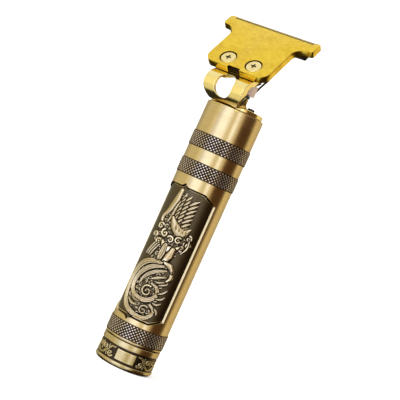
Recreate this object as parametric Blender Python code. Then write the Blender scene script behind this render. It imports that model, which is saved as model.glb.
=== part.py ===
"""Slim metal hair clipper with a T-shaped blade, standing on its base cap.

Sizes are in millimetres and are turned into metres when a mesh is made.  The
barrel's axis is Z, the base stands on Z = 0, and the blade's face looks
towards -Y and leans back.  The barrel is as long and as wide as the cell and
the motor inside it need.
"""
import math

import bmesh
import bpy
from mathutils import Vector

MM = 0.001

# Clearances
GAP = 0.3                     # between two pieces that seat on each other
RUNNING_GAP = 0.05            # radial, between the turning shaft and its bearings
PLATE_GAP = 0.2               # under the inlaid panel plate and at a coil's ends

# Motor and cell, which set the barrel's size
MOTOR_RADIUS = 10.2
CAN_LENGTH = 32.6
CAN_WALL = 0.8
BELL_THICKNESS = 1.6
MAGNET_THICKNESS = 1.5
MAGNET_LENGTH = 20.0
ROTOR_LENGTH = 18.0
SHAFT_RADIUS = 1.0
BUSH_WALL = 1.5
CELL_RADIUS = 9.1
CELL_LENGTH = 49.8
CELL_NUB = (2.8, 0.8)         # radius, height
CONTACT_THICKNESS = 0.4
CONTACT_RADIUS = 6.0

# Barrel
BARREL_FIT = 0.4              # radial, around the motor
BARREL_WALL = 1.9
CELL_SEAT = 15.9              # from the barrel's lower end to the cell
BELL_SPACE = 1.6              # from the upper contact to the motor's end bell
CAN_RECESS = 1.2              # from the motor's front to the barrel's upper end
KNURL_WIDTH = 6.8
KNURL_PROUD = 0.3
KNURL_EDGE = 0.25
LOW_KNURL_OFFSET = 0.8        # above the barrel's lower end
TOP_KNURL_OFFSET = 13.3       # below the barrel's upper end
KNURL_SPACING = 12.0
NOTCH_RADIUS = 1.0
NOTCH_ANGLE = 31.8            # to the right of the front, in degrees

# Panel recess in the barrel's front
PANEL_DEPTH = 1.25
PANEL_HALF_ANGLE = 71.0
PANEL_FLARE = 4.0             # extra half angle where the recess meets the surface
PANEL_ABOVE_KNURL = 2.7
PANEL_BELOW_KNURL = 5.4
PANEL_SHOULDER_ANGLE = 45.0
PANEL_SHOULDER_DROP = 2.8
PANEL_CUSP = 1.4
PANEL_CUSP_ANGLE = 9.0
PLATE_THICKNESS = 0.3
PLATE_MARGIN_ANGLE = 1.5

# Base cap
CAP_HEIGHT = 11.0
CAP_SEAM = 0.3                # open line between cap and barrel
CAP_RIM_HEIGHT = 2.1
CAP_RIM_PROUD = 0.1
CAP_BAND_HEIGHT = 6.3
CAP_BAND_DEPTH = 0.4
CAP_WALL = 2.6
SPIGOT_LENGTH = 6.2
THREAD_DEPTH = 0.35
THREAD_TURNS = 2
END_PLATE_INSET = 2.1         # from the barrel's surface
END_PLATE_THICKNESS = 1.3

# Underside controls
BUTTON_TO_WALL = 0.7          # from the button's flange to the cap's wall
BUTTON_RADIUS = 3.2
BUTTON_FLANGE_RADIUS = 3.9
BUTTON_FLANGE_THICKNESS = 0.8
BUTTON_RECESS = 0.35
BUTTON_TRAVEL = 1.0
BUTTON_STEM_RADIUS = 1.0
PRESS_GAP = 0.1               # left between stem and switch at full travel
SPRING_WIRE = 0.2             # radius
SPRING_RADIUS = 1.9
SPRING_TURNS = 3
SWITCH_SIZE = 5.2
SWITCH_HEIGHT = 2.8
SWITCH_NUB = (1.1, 0.2)
SOCKET_X = 4.9
SOCKET_SIZE = (3.3, 9.0)
SOCKET_WALL = 0.35
SOCKET_RECESS = 0.2
SOCKET_DEPTH = 6.4
LIGHT_Y = 6.9
LIGHT_RADIUS = 0.9
BOARD_THICKNESS = 1.4
BOARD_CLEARANCE = 0.4
BOARD_Z = 9.0

# Carrier around the cell
CARRIER_HALF_ANGLE = 80.0
CARRIER_FOOT = 1.6

# Neck
DISC_INSET = 1.0              # from the barrel's surface
DISC_THICKNESS = 1.7
DISC_HOLE_RADIUS = 2.4
NECK_SCREW_X = 6.2
NECK_SCREW_Y = 0.5
SCREW_HEAD = (1.6, 1.1)       # neck screws: radius, height
NECK_SHANK_RADIUS = 0.8
ARM_HALF_WIDTH = 9.9
ARM_ROOT_HALF_WIDTH = 7.0
ARM_THICKNESS = 3.9
ARM_PLATE = 1.7               # front strip of an arm
ARM_FLANGE = 1.6              # rib along an arm's outer side
POCKET_FLOOR = 0.4            # above the base disc
POCKET_TOP = 4.6              # below the blade's heel
ARM_BULGE = 1.6               # in front of the blade's heel
WINDOW_HALF_WIDTH = 4.2
WINDOW_TOP_MARGIN = 2.7       # below the blade's heel

# Blade frame: x to the right, u up the face, n out of the face
HEEL_FORWARD = 3.1            # in front of the barrel's surface
HEEL_HEIGHT = 12.6            # above the base disc
BLADE_TILT = 36.5             # leaning back from upright, in degrees
BLADE_THICKNESS = 3.0
BLADE_LENGTH = 29.9
BLADE_HALF_WIDTH = 15.5
WING_HALF_WIDTH = 22.8
WING_BOTTOM = 23.3
FLARE_BOTTOM = 18.5
HEEL_CORNER = 4.4
HEEL_NOTCH = (3.0, 1.0)       # half width, depth
TIP_SLOPE_LENGTH = 2.2
TIP_THICKNESS = 2.4
TEETH = 39
TOOTH_PITCH = 1.05
TOOTH_GAP = 0.5
TOOTH_DEPTH = 2.0
BLADE_SCREW_X = 6.45
BLADE_SCREW_U = 5.3
BLADE_SCREW_HEAD = (3.3, 1.2)
BLADE_SHANK_RADIUS = 1.3
COUNTERBORE = (3.7, 1.6)
CROSS_RECESS = (0.7, 2.6, 0.7)        # width, length, depth
PLATFORM_START = -0.2
PLATFORM_END = 9.2
PLATFORM_THICKNESS = 3.0
NUT_ACROSS_FLATS = 5.0
NUT_HEIGHT = 2.3
SHANK_END = 0.8

# Moving blade, its yoke and the eccentric
STROKE = 1.0
MOVER_THICKNESS = 1.7
MOVER_SHORTER = 0.4
MOVER_START = 10.6
MOVER_HALF_WIDTH = 9.0
MOVER_WING_HALF_WIDTH = 19.4
MOVER_WING_BOTTOM = 22.6
PIN_RADIUS = 0.75
PIN_CLEARANCE = 0.1
CAM_RADIUS = 2.9
CAM_HEIGHT = 3.8
CAM_LIFT = 0.8
PIN_LENGTH = 4.6
WASHER_RADIUS = 2.6
WASHER_THICKNESS = 1.0
YOKE_WALL = 1.2
YOKE_FORK_DEPTH = 3.4
YOKE_ARM_HALF_WIDTH = 1.9
YOKE_FOOT_START = 12.2
YOKE_FOOT_END = 18.6
YOKE_FOOT_THICKNESS = 1.6
YOKE_FOOT_HALF_WIDTH = 4.6
TENSION_WIRE = 0.45
TENSION_END_X = 13.4
TENSION_BEND_X = 1.6
TENSION_END_U = 5.5           # up the blade's face
TENSION_RISE = 6.0            # each leg's sweep above the yoke's fork
TENSION_START_PULL = (1.2, 5.0, 0.2)   # inwards, backwards, upwards
TENSION_BEND_PULL = (1.5, 1.1)         # inwards of the yoke's edge, behind the bend
TENSION_BEND_DEPTH = 0.6

ROUND = 40                    # sides of the barrel-sized pieces
SMALL = 20                    # sides of the small round pieces

# Levels along the barrel's axis
BARREL_BOTTOM = CAP_HEIGHT + CAP_SEAM
CELL_BOTTOM = BARREL_BOTTOM + CELL_SEAT
CELL_TOP = CELL_BOTTOM + CELL_LENGTH
TOP_CONTACT = CELL_TOP + CELL_NUB[1] + GAP
BELL_BOTTOM = TOP_CONTACT + CONTACT_THICKNESS + BELL_SPACE
CAN_BOTTOM = BELL_BOTTOM + BELL_THICKNESS + GAP
CAN_TOP = CAN_BOTTOM + CAN_LENGTH
BARREL_TOP = CAN_TOP + CAN_RECESS
DISC_BOTTOM = BARREL_TOP + GAP
DISC_TOP = DISC_BOTTOM + DISC_THICKNESS
CAM_BOTTOM = DISC_TOP + CAM_LIFT
CAM_TOP = CAM_BOTTOM + CAM_HEIGHT
WASHER_BOTTOM = CAM_TOP + GAP
FORK_BOTTOM = WASHER_BOTTOM + WASHER_THICKNESS + GAP
KNURL_BOTTOMS = (
    BARREL_BOTTOM + LOW_KNURL_OFFSET,
    BARREL_TOP - TOP_KNURL_OFFSET - KNURL_WIDTH - KNURL_SPACING,
    BARREL_TOP - TOP_KNURL_OFFSET - KNURL_WIDTH,
)
PANEL_BOTTOM = KNURL_BOTTOMS[0] + KNURL_WIDTH + PANEL_ABOVE_KNURL
PANEL_TOP = KNURL_BOTTOMS[1] - PANEL_BELOW_KNURL

# Radii
BORE_RADIUS = MOTOR_RADIUS + BARREL_FIT
BODY_RADIUS = BORE_RADIUS + BARREL_WALL
PANEL_RADIUS = BODY_RADIUS - PANEL_DEPTH
END_PLATE_RADIUS = BODY_RADIUS - END_PLATE_INSET
DISC_RADIUS = BODY_RADIUS - DISC_INSET
CAP_BORE = BODY_RADIUS + CAP_RIM_PROUD - CAP_WALL
BUTTON_X = BUTTON_TO_WALL + BUTTON_FLANGE_RADIUS - CAP_BORE

# Blade heel and the direction of its face
HEEL = Vector((0.0, -(BODY_RADIUS + HEEL_FORWARD), DISC_TOP + HEEL_HEIGHT))
FACE_UP = Vector((0.0, math.sin(math.radians(BLADE_TILT)), math.cos(math.radians(BLADE_TILT))))
FACE_OUT = Vector((0.0, -FACE_UP.z, FACE_UP.y))

# Colours and finishes: base colour, roughness, metallic
BRASS = ((0.62, 0.48, 0.25), 0.35, 1.0)
BRIGHT_GOLD = ((0.86, 0.70, 0.34), 0.25, 1.0)
PALE_GOLD = ((0.90, 0.79, 0.52), 0.18, 1.0)
BRONZE = ((0.20, 0.15, 0.10), 0.45, 1.0)
STEEL = ((0.60, 0.61, 0.62), 0.30, 1.0)
BLACK_STEEL = ((0.05, 0.05, 0.05), 0.40, 1.0)
CREAM_PLASTIC = ((0.86, 0.72, 0.56), 0.50, 0.0)
BLACK_PLASTIC = ((0.03, 0.03, 0.03), 0.50, 0.0)
GREEN_BOARD = ((0.03, 0.16, 0.07), 0.45, 0.0)
CELL_WRAP = ((0.06, 0.13, 0.33), 0.35, 0.0)
CLEAR_LENS = ((0.80, 0.85, 0.88), 0.15, 0.0)
MAGNET_GREY = ((0.10, 0.10, 0.11), 0.60, 0.2)
COPPER = ((0.72, 0.42, 0.22), 0.35, 1.0)


def clear_scene():
    """Remove whatever the scene holds."""
    for old in list(bpy.data.objects):
        bpy.data.objects.remove(old, do_unlink=True)


def make_material(name, finish):
    """One Principled material for one piece."""
    colour, roughness, metallic = finish
    material = bpy.data.materials.new(name)
    material.use_nodes = True
    shader = material.node_tree.nodes["Principled BSDF"]
    shader.inputs["Base Color"].default_value = (*colour, 1.0)
    shader.inputs["Roughness"].default_value = roughness
    shader.inputs["Metallic"].default_value = metallic
    return material


def add_object(name, mesh_data, finish, parent=None):
    """Turn a bmesh in millimetres into a named object in metres."""
    bmesh.ops.recalc_face_normals(mesh_data, faces=mesh_data.faces)
    bmesh.ops.scale(mesh_data, vec=(MM, MM, MM), verts=mesh_data.verts)
    mesh = bpy.data.meshes.new(name)
    mesh_data.to_mesh(mesh)
    mesh_data.free()
    mesh.shade_smooth()
    mesh.set_sharp_from_angle(angle=math.radians(35))
    item = bpy.data.objects.new(name, mesh)
    bpy.context.scene.collection.objects.link(item)
    item.parent = parent
    if finish is not None:
        mesh.materials.append(make_material(name, finish))
    return item


def as_cutter(item):
    """Hide a shape that only cuts or joins others."""
    item.hide_render = True
    item.display_type = "WIRE"
    return item


def combine(item, tool, operation):
    """Join or cut one object with another."""
    modifier = item.modifiers.new(operation.lower(), "BOOLEAN")
    modifier.operation = operation
    modifier.solver = "EXACT"
    modifier.object = as_cutter(tool)


def turned(name, outline, finish, sides=ROUND, centre=(0.0, 0.0), parent=None):
    """Turn a closed outline of (radius, height) points about an upright axis.

    An outline that touches the axis does so at its first and last point only,
    and the flat end beside such a point is one many-sided face.
    """
    mesh_data = bmesh.new()
    solid = outline[0][0] == 0.0
    turning = outline[1:-1] if solid else outline
    rings = []
    for radius, height in turning:
        ring = []
        for step in range(sides):
            angle = 2.0 * math.pi * step / sides
            x = centre[0] + radius * math.cos(angle)
            y = centre[1] + radius * math.sin(angle)
            ring.append(mesh_data.verts.new((x, y, height)))
        rings.append(ring)
    for ring, following in zip(rings, rings[1:] + ([] if solid else [rings[0]])):
        for step in range(sides):
            nxt = (step + 1) % sides
            mesh_data.faces.new([ring[step], ring[nxt], following[nxt], following[step]])
    if solid:
        mesh_data.faces.new(rings[0])
        mesh_data.faces.new(rings[-1])
    return add_object(name, mesh_data, finish, parent)


def cylinder_outline(radius, low, high, bore=0.0, edge=0.0):
    """The outline of a plain disc, rod or ring, with an optional chamfer."""
    outside = [(radius - edge, low), (radius, low + edge), (radius, high - edge), (radius - edge, high)]
    if edge == 0.0:
        outside = [(radius, low), (radius, high)]
    return [(bore, low)] + outside + [(bore, high)]


def prism(name, outline, low, high, finish, parent=None):
    """Extrude a flat outline of (x, y) points between two heights."""
    mesh_data = bmesh.new()
    face = mesh_data.faces.new([mesh_data.verts.new((x, y, low)) for x, y in outline])
    grown = bmesh.ops.extrude_face_region(mesh_data, geom=[face])
    risen = [part for part in grown["geom"] if isinstance(part, bmesh.types.BMVert)]
    bmesh.ops.translate(mesh_data, vec=(0.0, 0.0, high - low), verts=risen)
    return add_object(name, mesh_data, finish, parent)


def loft(name, sections, finish):
    """Join rings of points one after another and cap both ends."""
    mesh_data = bmesh.new()
    rings = [[mesh_data.verts.new(point) for point in section] for section in sections]
    count = len(rings[0])
    for first, second in zip(rings, rings[1:]):
        for step in range(count):
            nxt = (step + 1) % count
            mesh_data.faces.new([first[step], first[nxt], second[nxt], second[step]])
    mesh_data.faces.new(rings[0])
    mesh_data.faces.new(list(reversed(rings[-1])))
    return add_object(name, mesh_data, finish)


def on_barrel(radius, angle, height):
    """A point at an angle in degrees to the right of the front."""
    turn = math.radians(angle)
    return (radius * math.sin(turn), -radius * math.cos(turn), height)


def curved_block(name, inner, outer, low, high, half_angle, finish, middle=0.0, steps=24):
    """A block between two radii that follows the barrel's curve."""
    sections = []
    for step in range(steps + 1):
        angle = middle + half_angle * (2.0 * step / steps - 1.0)
        sections.append([
            on_barrel(inner, angle, low),
            on_barrel(inner, angle, high),
            on_barrel(outer, angle, high),
            on_barrel(outer, angle, low),
        ])
    return loft(name, sections, finish)


def bezier(points, steps):
    """Points along a cubic curve given by its four control points."""
    result = []
    for step in range(steps + 1):
        t = step / steps
        weights = ((1 - t) ** 3, 3 * t * (1 - t) ** 2, 3 * t * t * (1 - t), t ** 3)
        result.append(sum((Vector(p) * w for p, w in zip(points, weights)), Vector((0, 0, 0))))
    return result


def arc_points(centre, radii, start, end, steps):
    """Points on an elliptical arc; the angles are in degrees."""
    result = []
    for step in range(steps + 1):
        angle = math.radians(start + (end - start) * step / steps)
        x = centre[0] + radii[0] * math.cos(angle)
        result.append((x, centre[1] + radii[1] * math.sin(angle)))
    return result


def wire(name, route, radius, finish, sides=8):
    """A round wire along a smooth route, with flat ends."""
    curve = bpy.data.curves.new(name, "CURVE")
    curve.dimensions = "3D"
    curve.bevel_depth = radius * MM
    curve.bevel_resolution = sides // 4
    curve.use_fill_caps = True
    spline = curve.splines.new("POLY")
    spline.points.add(len(route) - 1)
    for point, place in zip(spline.points, route):
        point.co = (*(Vector(place) * MM), 1.0)
    item = bpy.data.objects.new(name, curve)
    bpy.context.scene.collection.objects.link(item)
    curve.materials.append(make_material(name, finish))
    return item


def make_barrel():
    """Tube with three raised knurl bands, a panel recess and a notch in its top edge."""
    edge = KNURL_EDGE
    outline = [(BORE_RADIUS, BARREL_BOTTOM), (BODY_RADIUS - edge, BARREL_BOTTOM)]
    outline.append((BODY_RADIUS, BARREL_BOTTOM + edge))
    for low in KNURL_BOTTOMS:
        high = low + KNURL_WIDTH
        outline += [(BODY_RADIUS, low), (BODY_RADIUS + KNURL_PROUD, low + edge)]
        outline += [(BODY_RADIUS + KNURL_PROUD, high - edge), (BODY_RADIUS, high)]
    outline.append((BODY_RADIUS, BARREL_TOP - edge))
    outline.append((BODY_RADIUS - edge, BARREL_TOP))
    outline.append((BORE_RADIUS, BARREL_TOP))
    barrel = turned("barrel", outline, BRASS)
    combine(barrel, panel_cutter(), "DIFFERENCE")
    notch_outline = cylinder_outline(NOTCH_RADIUS, 0.0, BARREL_WALL * 3.0)
    notch = turned("notch_cutter", notch_outline, None, sides=16)
    notch.location = [value * MM for value in on_barrel(BORE_RADIUS - 1.0, NOTCH_ANGLE, BARREL_TOP)]
    notch.rotation_euler = (math.radians(90.0), 0.0, math.radians(NOTCH_ANGLE))
    combine(barrel, notch, "DIFFERENCE")


def panel_ends(angle):
    """The recess's lower and upper ends at an angle, with cusps and sloping shoulders."""
    turn = abs(angle)
    shoulder = max(0.0, turn - PANEL_SHOULDER_ANGLE) / (PANEL_HALF_ANGLE - PANEL_SHOULDER_ANGLE)
    cusp = PANEL_CUSP * max(0.0, 1.0 - turn / PANEL_CUSP_ANGLE) ** 1.6
    low = PANEL_BOTTOM + PANEL_SHOULDER_DROP * shoulder - cusp
    high = PANEL_TOP - PANEL_SHOULDER_DROP * shoulder + cusp
    return low, high


def panel_cutter():
    """The space that is cut out of the barrel's front."""
    steps = 32
    sections = []
    for step in range(steps + 1):
        share = 2.0 * step / steps - 1.0
        angle = PANEL_HALF_ANGLE * share
        low, high = panel_ends(angle)
        outside = angle + PANEL_FLARE * share
        rise = PANEL_DEPTH
        sections.append([
            on_barrel(PANEL_RADIUS, angle, low),
            on_barrel(PANEL_RADIUS, angle, high),
            on_barrel(BODY_RADIUS + 1.0, outside, high + rise),
            on_barrel(BODY_RADIUS + 1.0, outside, low - rise),
        ])
    return loft("panel_cutter", sections, None)


def make_emblem_plate():
    """Thin curved plate inlaid in the panel recess; it carries the ornament."""
    steps = 24
    inner = PANEL_RADIUS + PLATE_GAP
    outer = inner + PLATE_THICKNESS
    sections = []
    for step in range(steps + 1):
        angle = (PANEL_HALF_ANGLE - PLATE_MARGIN_ANGLE) * (2.0 * step / steps - 1.0)
        low, high = panel_ends(angle)
        low += GAP
        high -= GAP
        sections.append([
            on_barrel(inner, angle, low),
            on_barrel(inner, angle, high),
            on_barrel(outer, angle, high),
            on_barrel(outer, angle, low),
        ])
    loft("emblem_plate", sections, BRONZE)


def make_base_cap():
    """Cap with a rim, a recessed ornament band and a threaded spigot in the barrel."""
    rim = BODY_RADIUS + CAP_RIM_PROUD
    band = BODY_RADIUS - CAP_BAND_DEPTH
    band_top = CAP_RIM_HEIGHT + CAP_BAND_HEIGHT
    spigot = BORE_RADIUS - GAP
    inner = CAP_BORE - GAP
    seat = END_PLATE_RADIUS + GAP
    spigot_top = BARREL_BOTTOM + SPIGOT_LENGTH
    outline = [(seat, 0.0), (rim - 1.0, 0.0), (rim - 0.3, 0.3), (rim, 1.0), (rim, CAP_RIM_HEIGHT - 0.2)]
    outline += [(band, CAP_RIM_HEIGHT + 0.1), (band, band_top - 0.1), (BODY_RADIUS, band_top + 0.2)]
    outline += [(BODY_RADIUS, CAP_HEIGHT - 0.2), (BODY_RADIUS - 0.2, CAP_HEIGHT), (spigot, CAP_HEIGHT)]
    pitch = SPIGOT_LENGTH / (THREAD_TURNS + 1)
    for turn in range(THREAD_TURNS):
        low = BARREL_BOTTOM + pitch * (turn + 0.5)
        outline += [(spigot, low), (spigot - THREAD_DEPTH, low + pitch * 0.25)]
        outline += [(spigot - THREAD_DEPTH, low + pitch * 0.5), (spigot, low + pitch * 0.75)]
    outline += [(spigot, spigot_top - 0.4), (spigot - 0.4, spigot_top), (inner, spigot_top)]
    outline += [(inner, END_PLATE_THICKNESS + GAP), (seat, END_PLATE_THICKNESS + GAP)]
    turned("base_cap", outline, BRASS)


def rounded_slot(half_x, half_y, radius, steps=4):
    """The outline of a rectangle with round corners."""
    points = []
    for corner, (sx, sy) in enumerate(((1, 1), (-1, 1), (-1, -1), (1, -1))):
        centre = (sx * (half_x - radius), sy * (half_y - radius))
        points += arc_points(centre, (radius, radius), corner * 90.0, corner * 90.0 + 90.0, steps)
    return points


def shifted(points, x, y):
    """The same flat outline at another place."""
    return [(px + x, py + y) for px, py in points]


def make_end_plate():
    """Flush plate in the cap's underside with holes for button, socket and light."""
    plate = turned("end_plate", cylinder_outline(END_PLATE_RADIUS, 0.0, END_PLATE_THICKNESS), BRONZE)
    holes = (
        ("button_hole", BUTTON_RADIUS + GAP, BUTTON_X, 0.0),
        ("light_hole", LIGHT_RADIUS + GAP, 0.0, LIGHT_Y),
    )
    for name, radius, x, y in holes:
        outline = cylinder_outline(radius, -1.0, END_PLATE_THICKNESS + 1.0)
        combine(plate, turned(name, outline, None, sides=SMALL, centre=(x, y)), "DIFFERENCE")
    half_x = SOCKET_SIZE[0] / 2.0 + GAP
    half_y = SOCKET_SIZE[1] / 2.0 + GAP
    slot = shifted(rounded_slot(half_x, half_y, half_x * 0.95), SOCKET_X, 0.0)
    cutter = prism("socket_hole", slot, -1.0, END_PLATE_THICKNESS + 1.0, None)
    combine(plate, cutter, "DIFFERENCE")


def switch_bottom():
    """The underside of the switch's body."""
    return BOARD_Z - GAP - SWITCH_HEIGHT


def make_power_button():
    """Push button in the underside, with a flange that keeps it in and a stem."""
    flange_low = END_PLATE_THICKNESS + GAP
    flange_high = flange_low + BUTTON_FLANGE_THICKNESS
    stem_radius = BUTTON_STEM_RADIUS
    stem_top = switch_bottom() - SWITCH_NUB[1] - BUTTON_TRAVEL - PRESS_GAP
    outline = [(0.0, BUTTON_RECESS), (BUTTON_RADIUS - 0.3, BUTTON_RECESS)]
    outline += [(BUTTON_RADIUS, BUTTON_RECESS + 0.3)]
    outline += [(BUTTON_RADIUS, flange_low), (BUTTON_FLANGE_RADIUS, flange_low)]
    outline += [(BUTTON_FLANGE_RADIUS, flange_high), (stem_radius, flange_high)]
    outline += [(stem_radius, stem_top), (0.0, stem_top)]
    button = turned("power_button", outline, STEEL, sides=SMALL)
    button.location = (BUTTON_X * MM, 0.0, 0.0)


def make_tactile_switch():
    """Small switch under the board that the button's stem presses."""
    bottom = switch_bottom()
    half = SWITCH_SIZE / 2.0
    body = shifted([(half, half), (-half, half), (-half, -half), (half, -half)], BUTTON_X, 0.0)
    switch = prism("tactile_switch", body, bottom, BOARD_Z - GAP, BLACK_PLASTIC)
    nub_radius, nub_height = SWITCH_NUB
    nub = cylinder_outline(nub_radius, bottom - nub_height, bottom + 0.5)
    tool = turned("switch_nub", nub, None, sides=SMALL, centre=(BUTTON_X, 0.0))
    combine(switch, tool, "UNION")


def make_button_spring():
    """Return spring between the button's flange and the switch's body."""
    low = END_PLATE_THICKNESS + GAP + BUTTON_FLANGE_THICKNESS + SPRING_WIRE + PLATE_GAP
    high = switch_bottom() - SPRING_WIRE - PLATE_GAP
    steps = SPRING_TURNS * 12
    route = []
    for step in range(steps + 1):
        angle = 2.0 * math.pi * step / 12.0
        height = low + (high - low) * step / steps
        x = BUTTON_X + SPRING_RADIUS * math.cos(angle)
        route.append((x, SPRING_RADIUS * math.sin(angle), height))
    wire("button_spring", route, SPRING_WIRE, STEEL, sides=4)


def make_charging_socket():
    """Open metal shell with a tongue, standing under the board."""
    low = SOCKET_RECESS
    high = BOARD_Z - GAP
    half_x, half_y = (value / 2.0 for value in SOCKET_SIZE)
    outline = shifted(rounded_slot(half_x, half_y, half_x * 0.95), SOCKET_X, 0.0)
    socket = prism("charging_socket", outline, low, high, STEEL)
    inner_x = half_x - SOCKET_WALL
    inner = shifted(rounded_slot(inner_x, half_y - SOCKET_WALL, inner_x * 0.95), SOCKET_X, 0.0)
    combine(socket, prism("socket_mouth", inner, low - 1.0, low + SOCKET_DEPTH, None), "DIFFERENCE")
    tongue = shifted(rounded_slot(0.35, half_y - SOCKET_WALL - 1.2, 0.2, 2), SOCKET_X, 0.0)
    combine(socket, prism("socket_tongue", tongue, low + 1.0, high - 0.5, None), "UNION")


def make_underside_electrics():
    """Board inside the cap and the light pipe under it."""
    board = cylinder_outline(CAP_BORE - GAP - BOARD_CLEARANCE, BOARD_Z, BOARD_Z + BOARD_THICKNESS)
    turned("circuit_board", board, GREEN_BOARD, sides=32)
    pipe = cylinder_outline(LIGHT_RADIUS, 0.1, BOARD_Z - GAP)
    turned("indicator_light", pipe, CLEAR_LENS, sides=16, centre=(0.0, LIGHT_Y))


def make_carrier():
    """Plastic half shell behind the cell, with a foot under it."""
    outer = BORE_RADIUS - GAP
    low = CELL_BOTTOM - GAP - CONTACT_THICKNESS - GAP - CARRIER_FOOT
    shell = curved_block("inner_carrier", CELL_RADIUS + GAP, outer, low, CELL_TOP,
                         CARRIER_HALF_ANGLE, BLACK_PLASTIC, middle=180.0, steps=20)
    foot = cylinder_outline(outer - 0.1, low, low + CARRIER_FOOT)
    combine(shell, turned("carrier_foot", foot, None, sides=32), "UNION")


def make_cell():
    """Round rechargeable cell with a contact at each end."""
    nub_radius, nub_height = CELL_NUB
    outline = [(0.0, CELL_BOTTOM), (CELL_RADIUS - 0.4, CELL_BOTTOM), (CELL_RADIUS, CELL_BOTTOM + 0.4)]
    outline += [(CELL_RADIUS, CELL_TOP - 0.4), (CELL_RADIUS - 0.4, CELL_TOP), (nub_radius, CELL_TOP)]
    outline += [(nub_radius, CELL_TOP + nub_height), (0.0, CELL_TOP + nub_height)]
    turned("battery_cell", outline, CELL_WRAP, sides=32)
    low = CELL_BOTTOM - GAP - CONTACT_THICKNESS
    contacts = (("battery_contact_bottom", low), ("battery_contact_top", TOP_CONTACT))
    for name, height in contacts:
        outline = cylinder_outline(CONTACT_RADIUS, height, height + CONTACT_THICKNESS)
        turned(name, outline, STEEL, sides=SMALL)


def make_motor():
    """Can with its magnets, bearings and end bell."""
    bush_outer = SHAFT_RADIUS + RUNNING_GAP + BUSH_WALL
    inner = MOTOR_RADIUS - CAN_WALL
    outline = [(inner, CAN_BOTTOM), (MOTOR_RADIUS, CAN_BOTTOM), (MOTOR_RADIUS, CAN_TOP - 0.6)]
    outline += [(MOTOR_RADIUS - 0.6, CAN_TOP), (bush_outer + GAP, CAN_TOP)]
    outline += [(bush_outer + GAP, CAN_TOP - CAN_WALL), (inner, CAN_TOP - CAN_WALL)]
    can = turned("motor_can", outline, STEEL, sides=36)
    for side in (-1, 1):
        hole = cylinder_outline(NECK_SHANK_RADIUS + GAP, CAN_TOP - 2.0, CAN_TOP + 1.0)
        place = (side * NECK_SCREW_X, NECK_SCREW_Y)
        combine(can, turned("can_hole", hole, None, sides=16, centre=place), "DIFFERENCE")
    flats = 1.0 / math.cos(math.pi / SMALL)
    bore = (SHAFT_RADIUS + RUNNING_GAP) * flats
    bush = cylinder_outline(bush_outer, CAN_TOP - CAN_WALL - 1.6, CAN_TOP - 0.1, bore=bore)
    turned("motor_bush", bush, COPPER, sides=SMALL)
    bell_top = BELL_BOTTOM + BELL_THICKNESS
    bell = cylinder_outline(MOTOR_RADIUS - 0.2, BELL_BOTTOM, bell_top, bore=bore)
    turned("motor_end_bell", bell, BLACK_PLASTIC, sides=36)
    low = CAN_BOTTOM + (CAN_LENGTH - MAGNET_LENGTH) / 2.0
    outer = inner - GAP
    for name, middle in (("motor_magnet_left", -90.0), ("motor_magnet_right", 90.0)):
        curved_block(name, outer - MAGNET_THICKNESS, outer, low, low + MAGNET_LENGTH,
                     62.0, MAGNET_GREY, middle=middle, steps=14)


def make_rotor():
    """Shaft with the wound core and the commutator; it turns about the barrel's axis."""
    core_radius = MOTOR_RADIUS - CAN_WALL - MAGNET_THICKNESS - 3.0 * GAP
    core_low = CAN_BOTTOM + (CAN_LENGTH - ROTOR_LENGTH) / 2.0
    core_high = core_low + ROTOR_LENGTH
    bottom = BELL_BOTTOM + 0.4
    top = CAM_TOP - 1.2
    outline = [(0.0, bottom), (SHAFT_RADIUS, bottom), (SHAFT_RADIUS, CAN_BOTTOM + 1.5)]
    outline += [(2.6, CAN_BOTTOM + 1.5), (2.6, core_low - 1.0), (core_radius - 1.5, core_low - 1.0)]
    outline += [(core_radius, core_low), (core_radius, core_high), (core_radius - 1.5, core_high + 1.0)]
    outline += [(SHAFT_RADIUS, core_high + 1.0), (SHAFT_RADIUS, top), (0.0, top)]
    turned("rotor", outline, STEEL, sides=SMALL)


def make_eccentric():
    """Brass cam on the shaft's end, its off-centre pin, and the washer on it."""
    drum = cylinder_outline(CAM_RADIUS, CAM_BOTTOM, CAM_TOP, edge=0.3)
    cam = turned("eccentric_cam", drum, BRASS, sides=32)
    bore = cylinder_outline(SHAFT_RADIUS + GAP, CAM_BOTTOM - 1.0, CAM_TOP - 1.2 + GAP)
    combine(cam, turned("cam_bore", bore, None, sides=SMALL), "DIFFERENCE")
    pin = cylinder_outline(PIN_RADIUS, CAM_TOP - 0.5, CAM_TOP + PIN_LENGTH)
    combine(cam, turned("cam_pin", pin, None, sides=16, centre=(0.0, STROKE)), "UNION")
    washer = cylinder_outline(WASHER_RADIUS, WASHER_BOTTOM, WASHER_BOTTOM + WASHER_THICKNESS,
                              bore=PIN_RADIUS + GAP)
    turned("cam_washer", washer, BLACK_PLASTIC, sides=SMALL, centre=(0.0, STROKE))


def face_point(u, n):
    """The point at a distance up the blade's face and out of it, at mid width."""
    return HEEL + FACE_UP * u + FACE_OUT * n


def neck_profile():
    """Side view of the arms and the platform, as points in the plane x = 0."""
    seat = -(BLADE_THICKNESS + GAP)
    under = seat - PLATFORM_THICKNESS
    front_y = HEEL.y - ARM_BULGE
    front = bezier([(0, -DISC_RADIUS + 0.3, DISC_BOTTOM), (0, front_y - 1.6, DISC_TOP + 0.3),
                    (0, front_y - 1.4, HEEL.z - 4.2), face_point(PLATFORM_START, seat)], 8)
    inner_y = front_y + ARM_THICKNESS
    back = bezier([face_point(0.2, under), (0, inner_y - 2.3, HEEL.z - 4.4),
                   (0, inner_y - 1.3, DISC_TOP + 1.3), (0, -5.2, DISC_TOP)], 8)
    platform = [face_point(PLATFORM_END, seat), face_point(PLATFORM_END, under)]
    return front + platform + back + [Vector((0, back[-1].y, DISC_BOTTOM))]


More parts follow.
